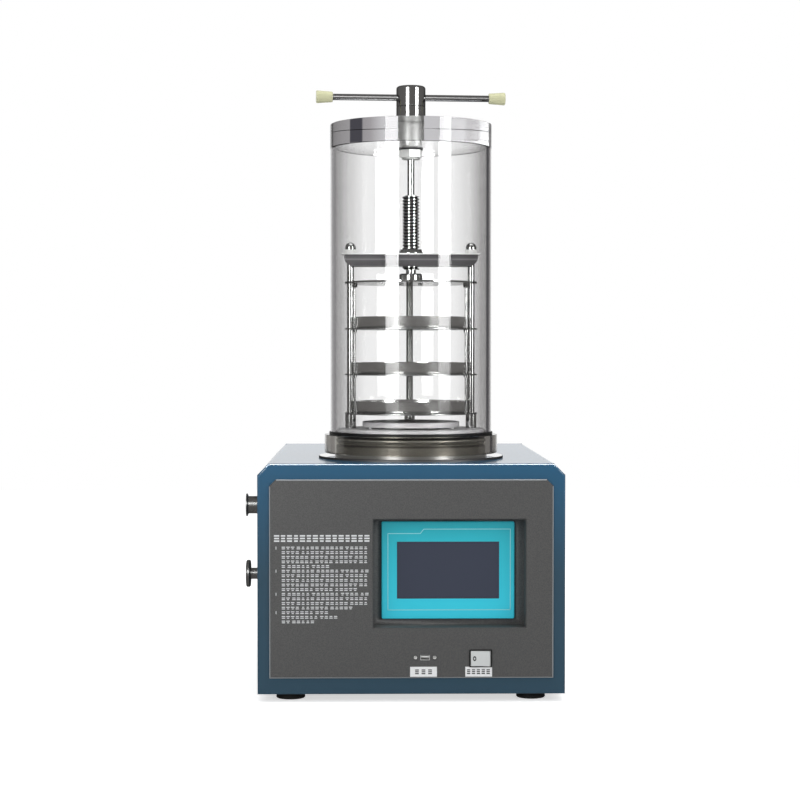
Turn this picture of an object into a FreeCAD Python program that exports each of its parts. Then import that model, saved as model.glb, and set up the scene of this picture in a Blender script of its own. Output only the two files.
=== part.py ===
"""Benchtop freeze dryer with a clear stoppering chamber.

Frame: X to the right, Y towards the back, Z up, in millimetres. The origin is on the bench, in the
middle of the machine's footprint, its side ports and the parts that stand out of its front and back
included. Pieces are drawn about the cabinet's own centre and moved to that origin when they are saved.
"""
import FreeCAD, Part
import os
from math import asin, cos, radians, sin, sqrt, tan

V = FreeCAD.Vector

# ---- Cabinet -------------------------------------------------------------------------------
case_width = 460.0
case_depth = 615.0
case_height = 345.0
sheet = 1.5                     # folded steel
corner_chamfer = 17.0           # the folds along the two top edges
frame_depth = 20.0              # flanged front frame
frame_edge_radius = 3.0
rear_depth = 12.0               # flanged rear panel
edge_radius = 1.0
sheet_gap = 0.3                 # between the tray and the walls round it

foot_height = 12.0
foot_radius = 22.0
foot_top_radius = 20.5
foot_side_inset = 48.0          # foot axis from the cabinet's side
foot_end_inset = 45.0           # foot axis from its front and back
foot_screw_radius = 5.0
foot_recess = 4.0

tray_flange = 20.0              # upright edges of the base tray

louvre_length = 64.0
louvre_height = 4.0
louvre_pitch = 11.0
louvre_rows = 9
louvre_columns = 2
louvre_column_pitch = 84.0
louvre_rear_inset = 150.0       # middle of the louvre field from the cabinet's back
louvre_centre_height = 150.0    # above the cabinet's bottom

# ---- Front panel and screen ----------------------------------------------------------------
panel_side_margin = 18.0        # panel to the cabinet's side
panel_bottom_margin = 24.7
panel_top_margin = 23.3
panel_thick = 4.0
panel_corner = 10.0             # cut-off upper corners
panel_bevel = 1.5
panel_overlap = 14.0            # panel over the frame's opening

window_width = 227.4
window_height = 161.5
window_side_margin = 41.5       # window to the panel's right edge
window_centre_height = 181.0    # above the cabinet's bottom
recess_depth = 38.0             # panel's front to the recess's floor
recess_flange = 8.0

bezel_width = 200.4
bezel_height = 147.0
bezel_thick = 6.0
bezel_corner = 2.5
screen_offset = -1.0            # screen's middle from the window's, to the right
screen_rise = 1.6               # and upwards
screen_body_margin = 5.0        # bezel past the housing behind it
screen_body_depth = 22.0
display_width = 154.1
display_height = 85.9
display_thick = 1.2
display_sink = 0.4              # display's face below the bezel's

# ---- USB socket and power switch -----------------------------------------------------------
usb_offset = -36.6              # socket from the window's middle, to the right
usb_height = 55.6               # above the cabinet's bottom
usb_width = 13.7
usb_tall = 7.4
usb_wall = 0.5
usb_depth = 15.0
usb_proud = 0.6
usb_tongue = 1.9
usb_flange_width = 38.0
usb_flange_tall = 13.0
usb_flange_thick = 2.0
usb_screw_pitch = 28.8
screw_radius = 1.5
small_gap = 0.2

switch_offset = 46.4            # switch from the window's middle, to the right
switch_height = 54.3            # above the cabinet's bottom
rocker_radius = 14.9            # half its length, about its pin
rocker_tall = 22.4
rocker_gap = 0.3
rocker_swing = 15.0             # degrees between its two settings
rocker_proud = 1.6              # face above the switch's rim
rocker_back = 5.0
switch_rim = 1.6
switch_flange_thick = 1.8
switch_body_depth = 16.0
switch_body_wall = 2.0
rocker_pin_radius = 1.5
rocker_pin_reach = 1.2
rocker_pin_gap = 0.06
rocker_pin_depth = 2.0          # pin's axis behind the rim's face

# ---- Ports on the left side ----------------------------------------------------------------
port_reach = 23.5
port_depth = 120.0              # behind the cabinet's front
vacuum_port_drop = 70.6         # below the cabinet's top
vacuum_tube_radius = 13.5
vacuum_bore_radius = 12.0
vacuum_flange_radius = 17.5
vacuum_flange_thick = 2.0
vacuum_flange_taper = 1.5
vacuum_collar_radius = 17.0
drain_port_drop = 30.8          # below the cold trap's floor
drain_tube_radius = 8.75
drain_bore_radius = 6.0
drain_flange_radius = 21.0
drain_flange_thick = 5.0
drain_flange_taper = 1.5
drain_collar_radius = 13.0
drain_bend_radius = 18.0
drain_mouth_offset = 30.0       # drain's mouth in the trap's floor, left of the chamber's axis
port_collar_thick = 3.0
port_hole_gap = 0.3

# ---- Power inlet at the back ---------------------------------------------------------------
inlet_side_inset = 80.0         # from the cabinet's right side
inlet_height = 50.0             # above the cabinet's bottom
inlet_flange_width = 50.0
inlet_flange_tall = 28.0
inlet_flange_thick = 3.0
inlet_corner = 4.0
inlet_width = 28.0
inlet_tall = 20.0
inlet_depth = 24.0
inlet_socket_width = 24.6
inlet_socket_tall = 16.6
inlet_socket_depth = 17.0
inlet_blade_thick = 2.0
inlet_blade_tall = 4.0
inlet_blade_length = 14.0
inlet_blade_spread = 7.0
inlet_blade_rise = 4.0
inlet_blade_drop = 2.0

# ---- Cold trap -----------------------------------------------------------------------------
chamber_x = 3.0                 # chamber's axis in the cabinet
chamber_setback = 177.0         # chamber's axis behind the cabinet's front
trap_radius = 90.0
trap_wall = 1.5
trap_depth = 150.0
trap_rim_radius = 104.0
trap_rim_thick = 2.0
trap_hole_gap = 2.0
coil_tube_radius = 4.0
coil_turns = 3                  # rings in each of the two banks
coil_pitch = 11.0
coil_top_drop = 16.0            # upper bank's first ring under the rim
coil_foot_rise = 12.0           # lower bank's last ring over the trap's floor
coil_header_radius = 5.0
jacket_gap = 1.0
jacket_wall = 12.0

# ---- Base of the chamber -------------------------------------------------------------------
trim_radius = 145.5
trim_thick = 3.5
trim_bevel = 0.8
flange_foot_radius = 120.0
flange_foot_height = 4.5
flange_radius = 118.0
flange_step_radius = 113.0      # raised middle that centres the gasket
flange_lower_band = 13.0
flange_groove = 3.0
flange_groove_depth = 4.0
flange_bead = 5.0
seal_radius = 136.5
seal_height = 29.0
seal_gap = 0.3
gasket_radius = 129.0
gasket_gap = 0.3
gasket_thick = 4.0
base_plate_radius = 116.0
base_plate_thick = 5.0
base_plate_hole_radius = 66.0
base_plate_bevel = 1.0
cover_radius = 76.6
cover_height = 11.0
cover_wall = 2.0
cover_gap = 2.5                 # under its rim, for the vapour
cover_pads = 3
cover_pad_radius = 4.0
cover_edge_radius = 1.5

# ---- Tube and lid --------------------------------------------------------------------------
tube_radius = 127.0
tube_wall = 8.0
tube_length = 445.0
lid_radius = 127.5
lid_thick = 37.0
lid_bevel = 0.8
lid_top_bevel = 2.0

# ---- Gland, drive rod and tee handle -------------------------------------------------------
gland_radius = 14.0
gland_head_radius = 23.0
gland_head_height = 29.0
gland_nut_flats = 32.0
gland_nut_height = 12.0
gland_washer_radius = 19.0
gland_washer_thick = 2.0
gland_tail = 3.0                # gland past its nut
rod_radius = 5.5
rod_flat = 1.5                  # depth of the flat that drives the screw
running_gap = 0.06
hub_height = 32.0
hub_gap = 0.3
hub_edge_radius = 4.5
hub_rod_depth = 9.0             # rod in the hub
bar_height = 14.1               # bar's axis above the hub's foot
bar_radius = 5.0
bar_yaw = 4.4                   # degrees, left end forward
knob_start = 123.5
knob_length = 26.0
knob_inner_radius = 8.3
knob_outer_radius = 10.0
knob_edge_radius = 1.5
knob_socket = 18.0              # bar in the knob
rod_engagement = 54.5           # rod in the hollow screw at rest

# ---- Shelf stack ---------------------------------------------------------------------------
post_radius = 5.5
post_length = 255.0             # base plate to the bridge's underside
post_circle = 95.5
back_post_circle = 98.0
post_hole_gap = 0.5
post_seat = 5.0                 # post's shoulder below the bridge's top
post_spigot_radius = 4.0
sleeve_radius = 8.5
sleeve_height = 23.0
shelf_radius = 104.5
shelf_thick = 2.0
press_plate_thick = 3.0
press_drop = 24.5               # press plate's top under the bridge at rest
upper_shelf_drop = 73.0         # press plate's top to the upper shelf's
middle_shelf_drop = 71.5        # upper shelf's top to the middle shelf's
press_travel = 15.0
press_rise = 10.0               # travel upwards from rest
hanger_radius = 2.5
hanger_x = 91.0
hanger_y = 40.0
hanger_hole_gap = 1.0
hanger_end_clearance = 6.0      # hanger over the base plate at full travel
hanger_nut_radius = 4.5
hanger_nut_height = 4.0
collar_radius = 4.5
collar_height = 4.0
back_post_rise = 16.5           # back post above the press plate
shelf_tray_radius = 88.0
shelf_tray_foot_radius = 86.5
shelf_tray_height = 18.0
shelf_tray_wall = 1.0
shelf_tray_edge_radius = 2.0

# ---- Bridge and screw ----------------------------------------------------------------------
bridge_lip_reach = 109.0
bridge_reach = 104.0
bridge_corner = 14.0            # rounding of its lower ends
bridge_thick = 20.0
bridge_lip = 2.0
bridge_width = 44.0
bridge_hole_gap = 0.1
nut_body_radius = 16.0
nut_flange_radius = 19.0
nut_flange_height = 6.7
acorn_flats = 17.0
acorn_skirt = 6.6
acorn_height = 17.6
screw_radius_crest = 13.25
screw_length = 115.0
screw_below_bridge = 5.0
screw_bevel = 1.2
screw_neck_radius = 7.75
screw_bore_floor = 47.0         # solid end under the rod's bore
screw_head_radius_lower = 11.0
screw_head_height = 4.0
screw_lip_radius = 9.0
screw_lip_height = 1.6
foot_cap_radius = 18.25
foot_cap_height = 13.0
foot_cap_edge_radius = 3.0
swivel_gap = 0.3
cap_screw_offset = 15.0
cap_screw_radius = 2.0
cap_screw_depth = 6.0

# ---- Refrigeration and control -------------------------------------------------------------
fan_side_inset = 160.0          # fan axis from the cabinet's left side
fan_height = 140.0              # fan axis above the cabinet's bottom
fan_radius = 92.0
fan_hub_radius = 26.0
fan_blade_depth = 22.0
fan_blades = 6
fan_blade_pitch = 38.0          # degrees of blade twist from the fan's plane
fan_blade_thick = 2.0
fan_tip_gap = 6.0
fan_panel_gap = 8.0             # fan behind the rear panel's flange
fan_shaft_radius = 4.0
shroud_size = 220.0
shroud_thick = 2.0
shroud_arm = 14.0
motor_radius = 30.0
motor_depth = 36.0
coil_block_depth = 44.0
fin_count = 12
fin_thick = 0.8
coil_rows = 5
coil_row_radius = 5.0
coil_row_pitch = 42.0
plenum_depth = 42.0             # condenser to fan
grille_rings = 5
grille_slot = 8.0
grille_first_ring = 22.0
grille_pitch = 15.0
grille_spoke = 12.0

compressor_side_inset = 110.0   # compressor's axis from the cabinet's left side
compressor_y = 62.0
compressor_radius = 62.0
compressor_body_height = 150.0
compressor_dome = 26.0
compressor_seam = 3.0
compressor_plate_width = 170.0
compressor_plate_depth = 130.0
compressor_plate_thick = 3.0
grommet_radius = 9.0
grommet_height = 12.0
grommet_inset = 14.0
pipe_radius = 4.0
pipe_bend = 18.0
drier_radius = 11.0
drier_length = 80.0

board_side_gap = 25.0           # board's edge to the cabinet's right side
board_y = 70.0
board_width = 130.0
board_depth = 190.0
board_thick = 1.6
standoff_height = 14.0
standoff_radius = 4.0
board_inset = 8.0
board_part_gap = 13.0
transformer_size = 39.0
transformer_height = 32.5
relay_count = 4
relay_width = 19.5
relay_depth = 13.0
relay_height = 15.6
relay_pitch = 22.1
heat_sink_fins = 5
heat_sink_fin_thick = 3.25
heat_sink_fin_pitch = 7.8
heat_sink_length = 65.0
heat_sink_height = 26.0

# ---- Places worked out from the sizes -------------------------------------------------------
front = -case_depth / 2
back = case_depth / 2
case_top = foot_height + case_height
panel_front = front - panel_thick
chamber_y = front + chamber_setback
tray_top = foot_height + sheet
panel_width = case_width - 2 * panel_side_margin
panel_height = case_height - panel_bottom_margin - panel_top_margin
window_centre_x = panel_width / 2 - window_side_margin - window_width / 2
screen_x = window_centre_x + screen_offset
usb_x = window_centre_x + usb_offset
switch_x = window_centre_x + switch_offset
inlet_x = case_width / 2 - inlet_side_inset
fan_x = fan_side_inset - case_width / 2
compressor_x = compressor_side_inset - case_width / 2
board_x = case_width / 2 - board_side_gap - board_width / 2

trim_top = case_top + trim_thick
trap_floor = trim_top - trap_depth
vacuum_port_z = case_top - vacuum_port_drop
drain_port_z = trap_floor - drain_port_drop
flange_step = trim_top + flange_foot_height
flange_top = flange_step + seal_height
gasket_top = flange_top + gasket_thick
base_plate_top = gasket_top + base_plate_thick
tube_top = gasket_top + tube_length
lid_top = tube_top + lid_thick
gland_top = lid_top + gland_head_height
hub_foot = gland_top + hub_gap
hub_top = hub_foot + hub_height
bar_z = hub_foot + bar_height

bridge_foot = base_plate_top + post_length
bridge_top = bridge_foot + bridge_thick
press_top = bridge_foot - press_drop
press_foot = press_top - press_plate_thick
upper_shelf_top = press_top - upper_shelf_drop
middle_shelf_top = upper_shelf_top - middle_shelf_drop
bottom_shelf_top = base_plate_top + sleeve_height + shelf_thick
hanger_end = base_plate_top + hanger_end_clearance + press_travel
screw_foot = bridge_foot - screw_below_bridge
screw_top = screw_foot + screw_length
rod_end = screw_top - rod_engagement
tube_bore_radius = tube_radius - tube_wall

rocker_face_angle = asin((rocker_proud + rocker_pin_depth) * cos(radians(rocker_swing / 2)) / rocker_radius)
rocker_reach = rocker_radius * sin(radians(rocker_swing) + rocker_face_angle)
front_reach = panel_thick + switch_flange_thick - rocker_pin_depth + rocker_reach
rear_reach = inlet_flange_thick
to_origin = V(port_reach / 2, (front_reach - rear_reach) / 2, 0)

os.makedirs("parts", exist_ok=True)


# ---- Small helpers --------------------------------------------------------------------------
def save(name, shape):
    """Write one sub-part, moved from the cabinet's centre to the machine's origin."""
    shape = shape.copy()
    shape.translate(to_origin)
    shape.exportStep(f"parts/{name}.step")


def save_chamber_part(name, shape):
    """Write one sub-part that was drawn about the chamber's axis."""
    shape = shape.copy()
    shape.translate(V(chamber_x, chamber_y, 0))
    save(name, shape)


def block(x0, x1, y0, y1, z0, z1):
    return Part.makeBox(x1 - x0, y1 - y0, z1 - z0, V(x0, y0, z0))


def disc(radius, z0, z1, x=0.0, y=0.0):
    return Part.makeCylinder(radius, z1 - z0, V(x, y, z0))


def ring(outer, inner, z0, z1, x=0.0, y=0.0):
    return disc(outer, z0, z1, x, y).cut(disc(inner, z0, z1, x, y))


def turned(profile, x=0.0, y=0.0):
    """Revolve a closed outline of (radius, height) points about a vertical axis."""
    points = [V(r, 0, z) for r, z in profile]
    face = Part.Face(Part.makePolygon(points + points[:1]))
    solid = face.revolve(V(0, 0, 0), V(0, 0, 1), 360)
    solid.translate(V(x, y, 0))
    return solid


def turned_along_x(profile, y, z):
    """Revolve a closed outline of (x, radius) points about a line along X."""
    points = [V(x, 0, r) for x, r in profile]
    face = Part.Face(Part.makePolygon(points + points[:1]))
    solid = face.revolve(V(0, 0, 0), V(1, 0, 0), 360)
    solid.translate(V(0, y, z))
    return solid


def plate_xz(width, height, x, z, y0, y1, corner=0.0):
    """A plate that faces the front, with its upright corners rounded."""
    plate = block(x - width / 2, x + width / 2, y0, y1, z - height / 2, z + height / 2)
    if corner:
        edges = [e for e in plate.Edges if abs(e.tangentAt(e.FirstParameter).y) > 0.9]
        plate = plate.makeFillet(corner, edges)
    return plate


def edges_at_height(shape, z, radius=None):
    """The level edges at one height, of one radius where that is given."""
    found = []
    for edge in shape.Edges:
        box = edge.BoundBox
        if abs(box.ZMin - z) > 1e-4 or abs(box.ZMax - z) > 1e-4:
            continue
        if radius is None or abs(box.XLength / 2 - radius) < 1e-3:
            found.append(edge)
    return found


def on_circle(radius, degrees):
    return V(radius * cos(radians(degrees)), radius * sin(radians(degrees)), 0)


def group(solids):
    return Part.makeCompound(solids)


# ---- Cabinet sheet metal --------------------------------------------------------------------
def case_prism(inset, y0, y1, bottom=None):
    """The cabinet's outline, with its two folded upper corners, drawn in by inset."""
    half = case_width / 2 - inset
    top = case_top - inset
    foot = foot_height + inset if bottom is None else bottom
    leg = corner_chamfer - inset * (2 - sqrt(2))
    outline = [V(-half, y0, foot), V(-half, y0, top - leg), V(-half + leg, y0, top),
               V(half - leg, y0, top), V(half, y0, top - leg), V(half, y0, foot)]
    face = Part.Face(Part.makePolygon(outline + outline[:1]))
    return face.extrude(V(0, y1 - y0, 0))


def flanged_end(face_y, depth, radius):
    """A front or back panel: a face with a flange folded round its whole edge."""
    inner_y = face_y + depth
    body = case_prism(0, min(face_y, inner_y), max(face_y, inner_y))
    rim = [e for e in body.Edges
           if abs(e.BoundBox.YMin - face_y) < 1e-4 and abs(e.BoundBox.YMax - face_y) < 1e-4]
    body = body.makeFillet(radius, rim)
    step = sheet if depth > 0 else -sheet
    near, far = sorted((face_y + step, inner_y))
    return body.cut(case_prism(sheet, near, far))


def slot_yz(length, height, x0, x1, y, z):
    """A round-ended slot through a side wall, its length along Y."""
    straight = length - height
    middle = block(x0, x1, y - straight / 2, y + straight / 2, z - height / 2, z + height / 2)
    ends = [Part.makeCylinder(height / 2, x1 - x0, V(x0, y + side * straight / 2, z), V(1, 0, 0))
            for side in (-1, 1)]
    return middle.fuse(ends).removeSplitter()


def cabinet_cover():
    """One sheet folded over the top and both sides, with vent slots near the back."""
    y0 = front + frame_depth
    y1 = back - rear_depth
    cover = case_prism(0, y0, y1).cut(case_prism(sheet, y0, y1, bottom=foot_height - sheet))
    cuts = [disc(trap_radius + trap_hole_gap, case_top - sheet, case_top, chamber_x, chamber_y)]
    field_y = back - louvre_rear_inset
    field_z = foot_height + louvre_centre_height
    for side in (-1, 1):
        inner, outer = sorted((side * (case_width / 2 - sheet), side * case_width / 2))
        for column in range(louvre_columns):
            y = field_y + (column - (louvre_columns - 1) / 2) * louvre_column_pitch
            for row in range(louvre_rows):
                z = field_z + (row - (louvre_rows - 1) / 2) * louvre_pitch
                cuts.append(slot_yz(louvre_length, louvre_height, inner, outer, y, z))
    wall_outer = -case_width / 2
    for z, radius in ((vacuum_port_z, vacuum_tube_radius), (drain_port_z, drain_tube_radius)):
        cuts.append(Part.makeCylinder(radius + port_hole_gap, sheet,
                                      V(wall_outer, front + port_depth, z), V(1, 0, 0)))
    return cover.cut(cuts)


def base_tray():
    """The floor that everything inside stands on: a flange up each side, four bosses for the board."""
    half = case_width / 2 - sheet - sheet_gap
    y0 = front + frame_depth + sheet_gap
    y1 = back - rear_depth - sheet_gap
    tray = block(-half, half, y0, y1, foot_height, tray_top + tray_flange)
    tray = tray.cut(block(-half + sheet, half - sheet, y0, y1, tray_top, tray_top + tray_flange))
    bosses = [disc(standoff_radius, tray_top, tray_top + standoff_height,
                   board_x + sx * (board_width / 2 - board_inset),
                   board_y + sy * (board_depth / 2 - board_inset)) for sx in (-1, 1) for sy in (-1, 1)]
    return tray.fuse(bosses).removeSplitter()


def front_frame():
    """The coloured frame that shows round the grey panel."""
    frame = flanged_end(front, frame_depth, frame_edge_radius)
    opening = plate_xz(panel_width - 2 * panel_overlap, panel_height - 2 * panel_overlap,
                       0, panel_centre_z, front, front + sheet)
    return frame.cut(opening)


def grille_cuts():
    """Rings of arc slots over the fan, broken by four spokes."""
    z = foot_height + fan_height
    y0 = back - sheet
    cuts = []
    for index in range(grille_rings):
        inner = grille_first_ring + index * grille_pitch
        outer = inner + grille_slot
        band = Part.makeCylinder(outer, sheet, V(fan_x, y0, z), V(0, 1, 0))
        band = band.cut(Part.makeCylinder(inner, sheet, V(fan_x, y0, z), V(0, 1, 0)))
        for turn in (45, 135):
            spoke = block(-outer, outer, y0, back, -grille_spoke / 2, grille_spoke / 2)
            spoke.rotate(V(0, 0, 0), V(0, 1, 0), turn)
            spoke.translate(V(fan_x, 0, z))
            band = band.cut(spoke)
        cuts.append(band)
    return cuts


def rear_panel():
    panel = flanged_end(back, -rear_depth, edge_radius)
    inlet_hole = plate_xz(inlet_width + 2 * small_gap, inlet_tall + 2 * small_gap, inlet_x,
                          foot_height + inlet_height, back - sheet, back)
    return panel.cut(grille_cuts() + [inlet_hole])


def foot(x, y):
    profile = [(foot_screw_radius, foot_recess), (foot_screw_radius, 0), (foot_radius, 0),
               (foot_radius, foot_height / 4), (foot_top_radius, foot_height), (0, foot_height),
               (0, foot_recess)]
    return turned(profile, x, y)


panel_centre_z = foot_height + panel_bottom_margin + panel_height / 2
foot_x = case_width / 2 - foot_side_inset
foot_y = case_depth / 2 - foot_end_inset

save("cabinet_cover", cabinet_cover())
save("base_tray", base_tray())
save("front_frame", front_frame())
save("rear_panel", rear_panel())
save("feet", group([foot(sx * foot_x, sy * foot_y) for sy in (-1, 1) for sx in (-1, 1)]))


# ---- Front panel, screen and its recess ------------------------------------------------------
window_z = foot_height + window_centre_height
screen_z = window_z + screen_rise
recess_floor = panel_front + recess_depth
bezel_front = recess_floor - bezel_thick
screen_body_width = bezel_width - 2 * screen_body_margin
screen_body_height = bezel_height - 2 * screen_body_margin
usb_z = foot_height + usb_height
switch_z = foot_height + switch_height
rocker_length = 2 * (rocker_radius + rocker_gap)
switch_well_tall = rocker_tall + 2 * rocker_gap
switch_body_width = rocker_length + 2 * switch_body_wall - switch_rim
switch_body_tall = switch_well_tall + 2 * switch_body_wall - switch_rim
switch_face = panel_front - switch_flange_thick


def front_panel():
    """Grey plate with bevelled edges and two cut corners, cut out for screen, socket and switch."""
    half = panel_width / 2
    z0 = panel_centre_z - panel_height / 2
    z1 = panel_centre_z + panel_height / 2
    outline = [V(-half, front, z0), V(-half, front, z1 - panel_corner), V(-half + panel_corner, front, z1),
               V(half - panel_corner, front, z1), V(half, front, z1 - panel_corner), V(half, front, z0)]
    face = Part.Face(Part.makePolygon(outline + outline[:1]))
    panel = face.extrude(V(0, -panel_thick, 0))
    panel = panel.cut(plate_xz(window_width, window_height, window_centre_x, window_z, panel_front, front))
    front_edges = [e for e in panel.Edges if abs(e.BoundBox.YMax - panel_front) < 1e-4]
    panel = panel.makeChamfer(panel_bevel, front_edges)
    cuts = [plate_xz(usb_width + 2 * small_gap, usb_tall + 2 * small_gap, usb_x, usb_z, panel_front, front),
            plate_xz(switch_body_width + 2 * small_gap, switch_body_tall + 2 * small_gap,
                     switch_x, switch_z, panel_front, front)]
    for side in (-1, 1):
        start = V(usb_x + side * usb_screw_pitch / 2, panel_front, usb_z)
        cuts.append(Part.makeCylinder(screw_radius + small_gap, panel_thick, start, V(0, 1, 0)))
    return panel.cut(cuts)


def screen_recess():
    """A welded pan behind the window, with a floor that carries the screen."""
    outer = plate_xz(window_width + 2 * sheet, window_height + 2 * sheet, window_centre_x, window_z,
                     front, recess_floor + sheet)
    flange = plate_xz(window_width + 2 * recess_flange, window_height + 2 * recess_flange,
                      window_centre_x, window_z, front, front + sheet)
    inside = plate_xz(window_width, window_height, window_centre_x, window_z, front, recess_floor)
    floor_hole = plate_xz(screen_body_width + 2 * small_gap, screen_body_height + 2 * small_gap,
                          screen_x, screen_z, recess_floor, recess_floor + sheet)
    return outer.fuse(flange).removeSplitter().cut([inside, floor_hole])


def screen_unit():
    """Moulded screen unit: bezel with a shallow well for the display, and the housing behind it."""
    bezel = plate_xz(bezel_width, bezel_height, screen_x, screen_z, bezel_front, recess_floor,
                     bezel_corner)
    rim = [e for e in bezel.Edges if abs(e.BoundBox.YMax - bezel_front) < 1e-4]
    bezel = bezel.makeChamfer(edge_radius, rim)
    housing = plate_xz(screen_body_width, screen_body_height, screen_x, screen_z,
                       recess_floor, recess_floor + screen_body_depth)
    well = plate_xz(display_width + small_gap, display_height + small_gap, screen_x, screen_z,
                    bezel_front, bezel_front + display_sink + display_thick)
    return bezel.fuse(housing).removeSplitter().cut(well)


save("front_panel", front_panel())
save("screen_recess", screen_recess())
save("screen_unit", screen_unit())
save("screen_display", plate_xz(display_width, display_height, screen_x, screen_z,
                                bezel_front + display_sink, bezel_front + display_sink + display_thick))


def usb_socket():
    """Panel-mount socket: a thin metal shell with a contact tongue, on a flange behind the panel."""
    mouth = panel_front - usb_proud
    shell = plate_xz(usb_width, usb_tall, usb_x, usb_z, mouth, front + usb_flange_thick)
    flange = plate_xz(usb_flange_width, usb_flange_tall, usb_x, usb_z, front, front + usb_flange_thick)
    inside = plate_xz(usb_width - 2 * usb_wall, usb_tall - 2 * usb_wall, usb_x, usb_z,
                      mouth, mouth + usb_depth)
    block_end = plate_xz(usb_width, usb_tall, usb_x, usb_z, front + usb_flange_thick,
                         mouth + usb_depth + usb_flange_thick)
    tongue_z = usb_z + usb_tall / 2 - usb_wall - usb_tongue
    tongue = plate_xz(usb_width - 4 * usb_wall, usb_tongue, usb_x, tongue_z,
                      mouth + 2 * usb_wall, mouth + usb_depth + usb_wall)
    holes = [Part.makeCylinder(screw_radius + small_gap, usb_flange_thick,
                               V(usb_x + side * usb_screw_pitch / 2, front, usb_z), V(0, 1, 0))
             for side in (-1, 1)]
    return shell.fuse([flange, block_end]).removeSplitter().cut([inside] + holes).fuse(tongue)


save("usb_socket", usb_socket())


# ---- Power switch ----------------------------------------------------------------------------
rocker_pin_y = switch_face + rocker_pin_depth


def switch_body():
    """Black switch case with a well for the rocker and a blind hole for each end of its pin."""
    flange = plate_xz(rocker_length + 2 * switch_rim, switch_well_tall + 2 * switch_rim, switch_x, switch_z,
                      switch_face, panel_front)
    case = plate_xz(switch_body_width, switch_body_tall, switch_x, switch_z,
                    panel_front, panel_front + switch_body_depth)
    floor = panel_front + switch_body_depth - switch_body_wall
    well = plate_xz(rocker_length, switch_well_tall, switch_x, switch_z, switch_face, floor)
    pin_holes = disc(rocker_pin_radius + rocker_pin_gap,
                     switch_z - rocker_tall / 2 - rocker_pin_reach - rocker_gap,
                     switch_z + rocker_tall / 2 + rocker_pin_reach + rocker_gap, switch_x, rocker_pin_y)
    return flange.fuse(case).removeSplitter().cut([well, pin_holes])


def switch_rocker():
    """Rocker with a shallow V face, its left half pressed in, on a pin along Z."""
    z0 = switch_z - rocker_tall / 2
    z1 = switch_z + rocker_tall / 2
    slope = tan(radians(rocker_swing / 2))
    face_y = switch_face - rocker_proud
    reach = rocker_radius + rocker_proud
    outline = [V(switch_x - reach, face_y - reach * slope, z0), V(switch_x, face_y, z0),
               V(switch_x + reach, face_y - reach * slope, z0),
               V(switch_x + reach, rocker_pin_y + rocker_back, z0),
               V(switch_x - reach, rocker_pin_y + rocker_back, z0)]
    wedge = Part.Face(Part.makePolygon(outline + outline[:1])).extrude(V(0, 0, rocker_tall))
    rocker = wedge.common(disc(rocker_radius, z0, z1, switch_x, rocker_pin_y))
    pin = disc(rocker_pin_radius, z0 - rocker_pin_reach, z1 + rocker_pin_reach, switch_x, rocker_pin_y)
    rocker = rocker.fuse(pin)
    rocker.rotate(V(switch_x, rocker_pin_y, 0), V(0, 0, 1), -rocker_swing / 2)
    return rocker


save("switch_body", switch_body())
save("switch_rocker", switch_rocker())


# ---- Ports and power inlet -------------------------------------------------------------------
port_y = front + port_depth
wall_x = -case_width / 2
port_end = wall_x - port_reach


def vacuum_port():
    """Flanged tube from the pump's clamp to the cold trap, welded to the trap's wall."""
    thick_end = port_end + vacuum_flange_thick
    taper_end = thick_end + vacuum_flange_taper
    profile = [(port_end, vacuum_bore_radius), (port_end, vacuum_flange_radius),
               (thick_end, vacuum_flange_radius), (taper_end, vacuum_tube_radius),
               (wall_x - port_collar_thick, vacuum_tube_radius),
               (wall_x - port_collar_thick, vacuum_collar_radius), (wall_x, vacuum_collar_radius),
               (wall_x, vacuum_tube_radius), (chamber_x, vacuum_tube_radius), (chamber_x, vacuum_bore_radius)]
    tube = turned_along_x(profile, port_y, vacuum_port_z)
    trap = disc(trap_radius, foot_height, trim_top, chamber_x, chamber_y)
    return tube.cut(trap)


def drain_port():
    """Flanged meltwater drain: in from the side, then round an elbow up to the trap's floor."""
    thick_end = port_end + drain_flange_thick
    taper_end = thick_end + drain_flange_taper
    edge = drain_flange_taper
    z = drain_port_z
    mouth_x = chamber_x - drain_mouth_offset
    bend_x = mouth_x - drain_bend_radius
    profile = [(port_end, drain_bore_radius), (port_end, drain_flange_radius - edge),
               (port_end + edge, drain_flange_radius), (thick_end, drain_flange_radius),
               (taper_end, drain_flange_radius - edge), (taper_end, drain_tube_radius),
               (wall_x - port_collar_thick, drain_tube_radius),
               (wall_x - port_collar_thick, drain_collar_radius), (wall_x, drain_collar_radius),
               (wall_x, drain_tube_radius), (bend_x, drain_tube_radius), (bend_x, drain_bore_radius)]
    end = Part.makeCircle(drain_tube_radius, V(bend_x, port_y, z), V(1, 0, 0))
    bore = Part.makeCircle(drain_bore_radius, V(bend_x, port_y, z), V(1, 0, 0))
    section = Part.Face([Part.Wire(end), Part.Wire(bore)])
    elbow = section.revolve(V(bend_x, port_y, z + drain_bend_radius), V(0, 1, 0), -90)
    riser = ring(drain_tube_radius, drain_bore_radius, z + drain_bend_radius, trap_floor, mouth_x, port_y)
    return turned_along_x(profile, port_y, z).fuse([elbow, riser]).removeSplitter()


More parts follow.
